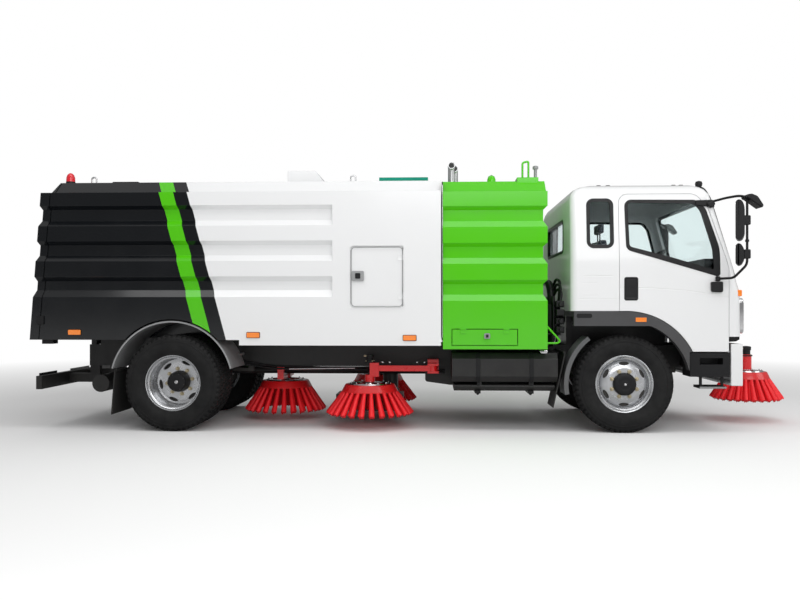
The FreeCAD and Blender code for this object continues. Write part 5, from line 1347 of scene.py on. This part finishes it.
def motor(name, x, y, foot, body, size=1.0):
    """A hydraulic motor on its flange, with two ports and a capped top."""
    r = 0.058 * size
    shell = upright(name, [(0.0, 0.0), (0.0, r * 1.25), (0.014, r * 1.25), (0.014, r * 0.86),
                           (0.070 * size, r * 0.86), (0.074 * size, r), (0.112 * size, r), (0.120 * size, r * 0.80),
                           (0.124 * size, 0.0)], (x, y), 40, foot)
    put(shell, body, "dark_plastic")
    bolts = ring_of(bar("bolt", (x + r * 1.08, y, foot + 0.012), (x + r * 1.08, y, foot + 0.024), 0.007, 6),
                    name + "_bolts", 4, (x, y, 0), "Z", 0.6)
    port_up = foot + 0.094 * size
    ports = [bar("port", (x - r * 0.6, y + k, port_up), (x - r * 1.42, y + k, port_up), 0.013 * size, 6, 0.0015)
             for k in (-0.024 * size, 0.024 * size)]
    put(join(name + "_fittings", bolts, *ports), body, "brass")


def make_brush_heads():
    """The brushes' motors, and the bolts on the side arms."""
    x, y = SIDE_BRUSH
    for side, sign in SIDES:
        motor("side_motor_" + side, x, sign * y, 0.700, "side_head_" + side, 0.78)
    motor("front_motor", FRONT_BRUSH_X, 0.0, 0.740, "front_head", 0.95)
    for side, sign in SIDES:
        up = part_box("side_brush_arm_" + side)[1][2]
        heads = [bar("arm_bolt", (x, sign * y, up - 0.003), (x, sign * y, up + 0.011), 0.013, 6, 0.0015)
                 for x in (0.02, -0.06, -0.36, -0.44)]
        put(join("arm_bolts_" + side, *heads), "side_arm_" + side, "bright_steel")


# ---- cab front ----

CAB_FACE = 3.264


def front_plate(name, along, up, corner, low, high, bevel=0.003):
    """A rounded rectangular plate across the cab's front."""
    return plate(name, "YZ", rounded(oblong(along, up, corner)), low, high, bevel)


def make_cab_front():
    """Grille, headlamps, indicators, lower panel, wipers and roof lamps."""
    surround = front_plate("grille_frame", (-0.720, 0.720), (1.060, 1.370), 0.03, CAB_FACE - 0.020,
                           CAB_FACE + 0.006, 0.004)
    carve(surround, block("cutter", (3.1, -0.690, 1.090), (3.4, 0.690, 1.340)))
    slats = [block("slat", (CAB_FACE - 0.014, -0.700, z - 0.011), (CAB_FACE + 0.003, 0.700, z + 0.011), 0.004)
             for z in (1.115, 1.165, 1.215, 1.265, 1.315)]
    backing = block("grille_back", (CAB_FACE - 0.020, -0.695, 1.085), (CAB_FACE - 0.012, 0.695, 1.345))
    put(join("grille", surround, backing, *slats), "cab", "dark_plastic")

    glass = CAB_FACE + 0.028
    for side, sign in SIDES:
        corners = oblong(sorted((sign * 0.760, sign * 1.075)), (1.030, 1.395), 0.05)
        put(plate("headlamp_rim_" + side, "YZ", rounded(corners), CAB_FACE - 0.030, glass, 0.008, 3), "cab",
            "bright_steel")
        put(plate("headlamp_glass_" + side, "YZ", rounded(corners, -0.022), glass - 0.004, glass + 0.004, 0.003),
            "cab", "lamp_glass")
        for k, z in enumerate((1.135, 1.290)):
            bowl = [(0.003, 0.0), (0.003, 0.060), (0.007, 0.064), (0.007, 0.070), (0.002, 0.072), (0.002, 0.0)]
            put(lathe("headlamp_bowl_%s_%d" % (side, k), [(glass + out, radius) for out, radius in bowl],
                      (0, sign * 0.918, z), "X", 40), "cab", "bright_steel")
        wrap = sorted((sign * 1.000, sign * 1.112))
        put(block("indicator_" + side, (3.214, wrap[0], 1.412), (3.262, wrap[1], 1.478), 0.010), "cab", "orange_lens")
        marker = sign * 0.62
        put(block("roof_marker_" + side, (2.775, marker - 0.045, 2.575), (2.825, marker + 0.045, 2.606), 0.010),
            "cab", "orange_lens")
        reach = sign * 0.42
        blade = [(3.190, reach - 0.34, 1.735), (3.174, reach + 0.05, 1.790), (3.162, reach + 0.36, 1.828)]
        put(pipe("wiper_" + side, blade, 0.007, 0.05), "cab", "dark_plastic")
        put(bar("wiper_pivot_" + side, (3.165, reach - 0.34, 1.725), (3.205, reach - 0.34, 1.742), 0.020, 20, 0.004),
            "cab", "dark_plastic")
    panel = front_plate("scuttle_panel", (-1.000, 1.000), (1.585, 1.715), 0.03, 3.120, 3.238, 0.004)
    put(carve(panel, cab_solid("cutter", -0.003), "INTERSECT"), "cab", "dark_plastic")
    put(front_plate("front_plate", (-0.260, 0.260), (0.640, 0.752), 0.008, 3.258, 3.268, 0.002), "chassis",
        "silver_guard")
    for side, sign in SIDES:
        lamp = lathe("bumper_lamp_" + side, [(3.255, 0.0), (3.255, 0.058), (3.270, 0.060), (3.276, 0.050),
                                             (3.278, 0.0)], (0, sign * 0.72, 0.700), "X", 36)
        put(lamp, "chassis", "lamp_glass")


def make_steps_and_trim():
    """Pierced step treads, and a slot and a marker over each front arch."""
    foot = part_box("step_panels")[0][2]
    for side, sign in SIDES:
        y = sorted((sign * 0.940, sign * 1.112))
        tread = block("step_tread_" + side, (2.834, y[0], foot + 0.002), (3.105, y[1], foot + 0.020), 0.003)
        spots = [(2.862 + 0.043 * i, y[0] + 0.035 + 0.050 * j) for i in range(6) for j in range(3)]
        holes = [bar("hole", (*spot, foot - 0.02), (*spot, foot + 0.05), 0.012, 16) for spot in spots]
        put(carve(tread, join("holes", *holes)), "chassis", "silver_guard")
        y_out = sign * 1.134
        slot = plate("arch_slot_" + side, "XZ", rounded(oblong((1.580, 1.740), (1.190, 1.236), 0.02)),
                     *sorted((y_out, y_out + sign * 0.0055)), 0.002)
        put(slot, "cab", "dark_plastic")
        span = sorted((y_out, y_out + sign * 0.010))
        put(block("arch_marker_" + side, (2.180, span[0], 1.150), (2.290, span[1], 1.195), 0.004), "cab",
            "orange_lens")


# ---- behind the cab, roof of the cab and seats ----

def make_intake():
    """Air cleaner with its duct, the fillers under the cab's front, and the valves on a plate behind the cab."""
    x, y = 1.392, -0.640
    can = lathe("air_cleaner", [(1.020, 0.0), (1.020, 0.088), (1.034, 0.098), (1.060, 0.098), (1.064, 0.104),
                                (1.078, 0.104), (1.082, 0.098), (1.310, 0.098), (1.334, 0.080), (1.338, 0.0)],
                (x, y, 0), "Z", 48)
    duct = pipe("intake_duct", [(x, y, 1.320), (x, y, 1.460), (x, y + 0.16, 1.560), (x, y + 0.42, 1.580)], 0.042,
                0.07, 8)
    hose = pipe("intake_elbow", [(x, y + 0.090, 1.110), (x, y + 0.220, 1.100), (x - 0.02, y + 0.300, 1.000)], 0.034,
                0.06, 8)
    shelf = block("intake_shelf", (1.300, -0.760, 1.000), (1.484, -0.400, 1.022), 0.004)
    leg = block("intake_leg", (1.330, -0.470, 0.872), (1.440, -0.424, 1.002), 0.004)
    put(join("air_intake", can, duct, hose, shelf, leg), "chassis", "dark_plastic")
    put(block("bumper_filler", (3.096, -1.000, 0.905), (3.158, 1.000, 0.982), 0.008), "chassis", "dark_plastic")
    strip = plate("cab_foot_strip", "XZ", [(3.130, 0.945), (3.208, 0.950), (3.245, 0.970), (3.245, 1.000),
                                          (3.130, 1.000)], -1.085, 1.085, 0.004)
    put(strip, "cab", "dark_plastic")
    valves = [block("valve", (1.400, low, 1.030 + 0.090 * i), (1.486, low + 0.120, 1.100 + 0.090 * i), 0.010, 3)
              for i, low in enumerate((-0.960, -0.930, -0.975, -0.940))]
    knobs = [bar("knob", (1.446, -1.010, z), (1.446, -0.930, z), 0.022, 20, 0.005) for z in (1.070, 1.155, 1.330)]
    back = block("valve_plate", (1.380, -0.880, 0.880), (1.392, -0.300, 1.420), 0.003)
    hoses = [pipe("hose", [(1.450, -0.900 + k, 1.360), (1.470, -0.880 + k, 1.470 + k), (1.440, -0.740 + k, 1.500 + k),
                           (1.400, -0.600 + k, 1.380), (1.420, -0.560 + k, 1.100), (1.400, -0.560 + k, 0.900)],
                  0.015, 0.06, 8) for k in (0.0, 0.055, 0.110)]
    put(join("valve_group", back, *valves, *knobs, *hoses), "chassis", "dark_plastic")


def make_underside():
    """Tank cradle, tray under the rails, and the fixed lines that run along them."""
    low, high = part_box("fuel_tank")
    cradle = plate("tank_cradle", "YZ", rounded(((low[1] + 0.060, 0.496, 0.02), (low[1] + 0.100, 0.428, 0.03),
                                                (high[1] - 0.080, 0.428, 0.03), (high[1] - 0.040, 0.496, 0.02))),
                   low[0] + 0.020, high[0] - 0.020, 0.004)
    put(cradle, "chassis", "chassis_paint")
    feet, bolt_y = [], low[1] + 0.110
    for x in TANK_STATIONS:
        feet += [block("cradle_foot", (x - 0.030, low[1] + 0.070, 0.402), (x + 0.030, high[1] - 0.100, 0.432), 0.004),
                 bar("cradle_bolt", (x, bolt_y, 0.385), (x, bolt_y, 0.470), 0.010, 12),
                 bar("cradle_nut", (x, bolt_y, 0.392), (x, bolt_y, 0.408), 0.018, 6, 0.002)]
    put(join("cradle_feet", *feet), "chassis", "dark_plastic")
    tray = plate("rail_tray", "XZ", rounded(((0.020, 0.640, 0.01), (0.020, 0.470, 0.03), (0.300, 0.432, 0.02),
                                             (0.640, 0.432, 0.03), (0.640, 0.640, 0.01))), -0.410, -0.180, 0.006)
    put(tray, "chassis", "chassis_paint")
    route = ((-2.050, -0.452, 0.700), (-1.700, -0.452, 0.640), (-0.900, -0.452, 0.625), (-0.200, -0.452, 0.640),
             (0.240, -0.440, 0.600))
    lines = [pipe("rail_line", [(x, y - k, z - k) for x, y, z in route], 0.010, 0.10) for k in (0.0, 0.026)]
    put(join("rail_lines", *lines), "chassis", "dark_plastic")
    put(bar("rail_rod", (-1.500, -0.500, 0.612), (-0.760, -0.500, 0.622), 0.008, 16, 0.001), "chassis",
        "bright_steel")


def make_cab_roof():
    """A ball camera on a bent stem over the near door, and studs along the roof's edge."""
    x, y = 2.890, -0.900
    ball = upright("roof_ball", [(2.470, 0.0), (2.470, 0.030), (2.548, 0.030), (2.556, 0.022), (2.572, 0.034),
                                 (2.594, 0.038), (2.616, 0.030), (2.626, 0.0)], (x, y), 32)
    stem = pipe("roof_stem", [(x, y, 2.560), (x + 0.035, y - 0.045, 2.545), (x + 0.070, y - 0.100, 2.460),
                              (x + 0.082, y - 0.120, 2.380)], 0.008, 0.04)
    put(join("roof_camera", ball, stem), "cab", "dark_plastic")
    studs = [block("roof_stud", (x - 0.022, -0.66, 2.570), (x + 0.022, -0.60, 2.622), 0.006)
             for x in (1.90, 2.00, 2.70, 2.78)]
    put(join("roof_studs", *studs), "cab", "dark_plastic")


CUSHION_VOXEL, CUSHION_SWELL, CUSHION_FRAMES, CUSHION_PRESSURE = 0.012, 0.014, 20, 4
SEAT_MIDDLE = 0.520


def plump(piece):
    """Swells a cushion with simulated cloth, capped, and smooths it once."""
    apply(piece, "REMESH", mode="VOXEL", voxel_size=CUSHION_VOXEL)
    before = [point.co.copy() for point in piece.data.vertices]
    pick(piece)
    cloth = piece.modifiers.new("Cloth", "CLOTH")
    cloth.settings.use_pressure = True
    cloth.settings.uniform_pressure_force = CUSHION_PRESSURE
    cloth.settings.effector_weights.gravity = 0
    for step in range(1, CUSHION_FRAMES + 1):
        bpy.context.scene.frame_set(step)
    bpy.ops.object.modifier_apply(modifier=cloth.name)
    bpy.context.scene.frame_set(1)
    for point, start in zip(piece.data.vertices, before):
        moved = point.co - start
        if moved.length > CUSHION_SWELL:
            point.co = start + moved.normalized() * CUSHION_SWELL
    apply(piece, "SUBSURF", levels=1)
    bpy.ops.object.shade_smooth()
    return piece


def make_seats():
    """Cushion, back and head rest on a plain base, on each side."""
    inset = CUSHION_SWELL + 0.004
    # name, half width, and the low and high corner of the space that the pad fills, along and up
    pads = (("seat_cushion", 0.250, (1.990, 1.522), (2.480, 1.662)),
            ("seat_back", 0.250, (1.870, 1.600), (1.985, 2.050)),
            ("seat_headrest", 0.150, (1.880, 2.085), (1.975, 2.222)))
    for name, half, low, high in pads:
        pad = block(name, (low[0] + inset, -SEAT_MIDDLE - half + inset, low[1] + inset),
                    (high[0] - inset, -SEAT_MIDDLE + half - inset, high[1] - inset))
        pad = plump(pad)
        twin = copy_of(pad, name + "_left", mirror=True)
        pad.name = name + "_right"
        for one in (pad, twin):
            put(one, "cab", "seat_cloth", "seats")
    frames = []
    for _, sign in SIDES:
        y = sign * SEAT_MIDDLE
        frames += [block("seat_base", (2.040, y - 0.190, 1.262), (2.400, y + 0.190, 1.524), 0.012, 3),
                   block("seat_link", (1.900, y - 0.190, 1.535), (2.000, y + 0.190, 1.612), 0.008)]
        frames += [bar("headrest_post", (1.928, y + k, 2.030), (1.928, y + k, 2.110), 0.007, 14)
                   for k in (-0.06, 0.06)]
    put(join("seat_frames", *frames), "cab", "dark_plastic")


make_floor()
make_room()
make_lamps()
make_camera()
dress_frame()
make_bodywork()
make_wheels()
make_brushes()
make_cab()
make_seals()
make_door_fittings()
make_mirrors()
make_side_fittings()
make_roof_fittings()
make_bay_fittings()
make_tank_straps()
make_bay_gap()
make_rear_fittings()
make_brush_heads()
make_cab_front()
make_steps_and_trim()
make_intake()
make_underside()
make_cab_roof()
make_seats()
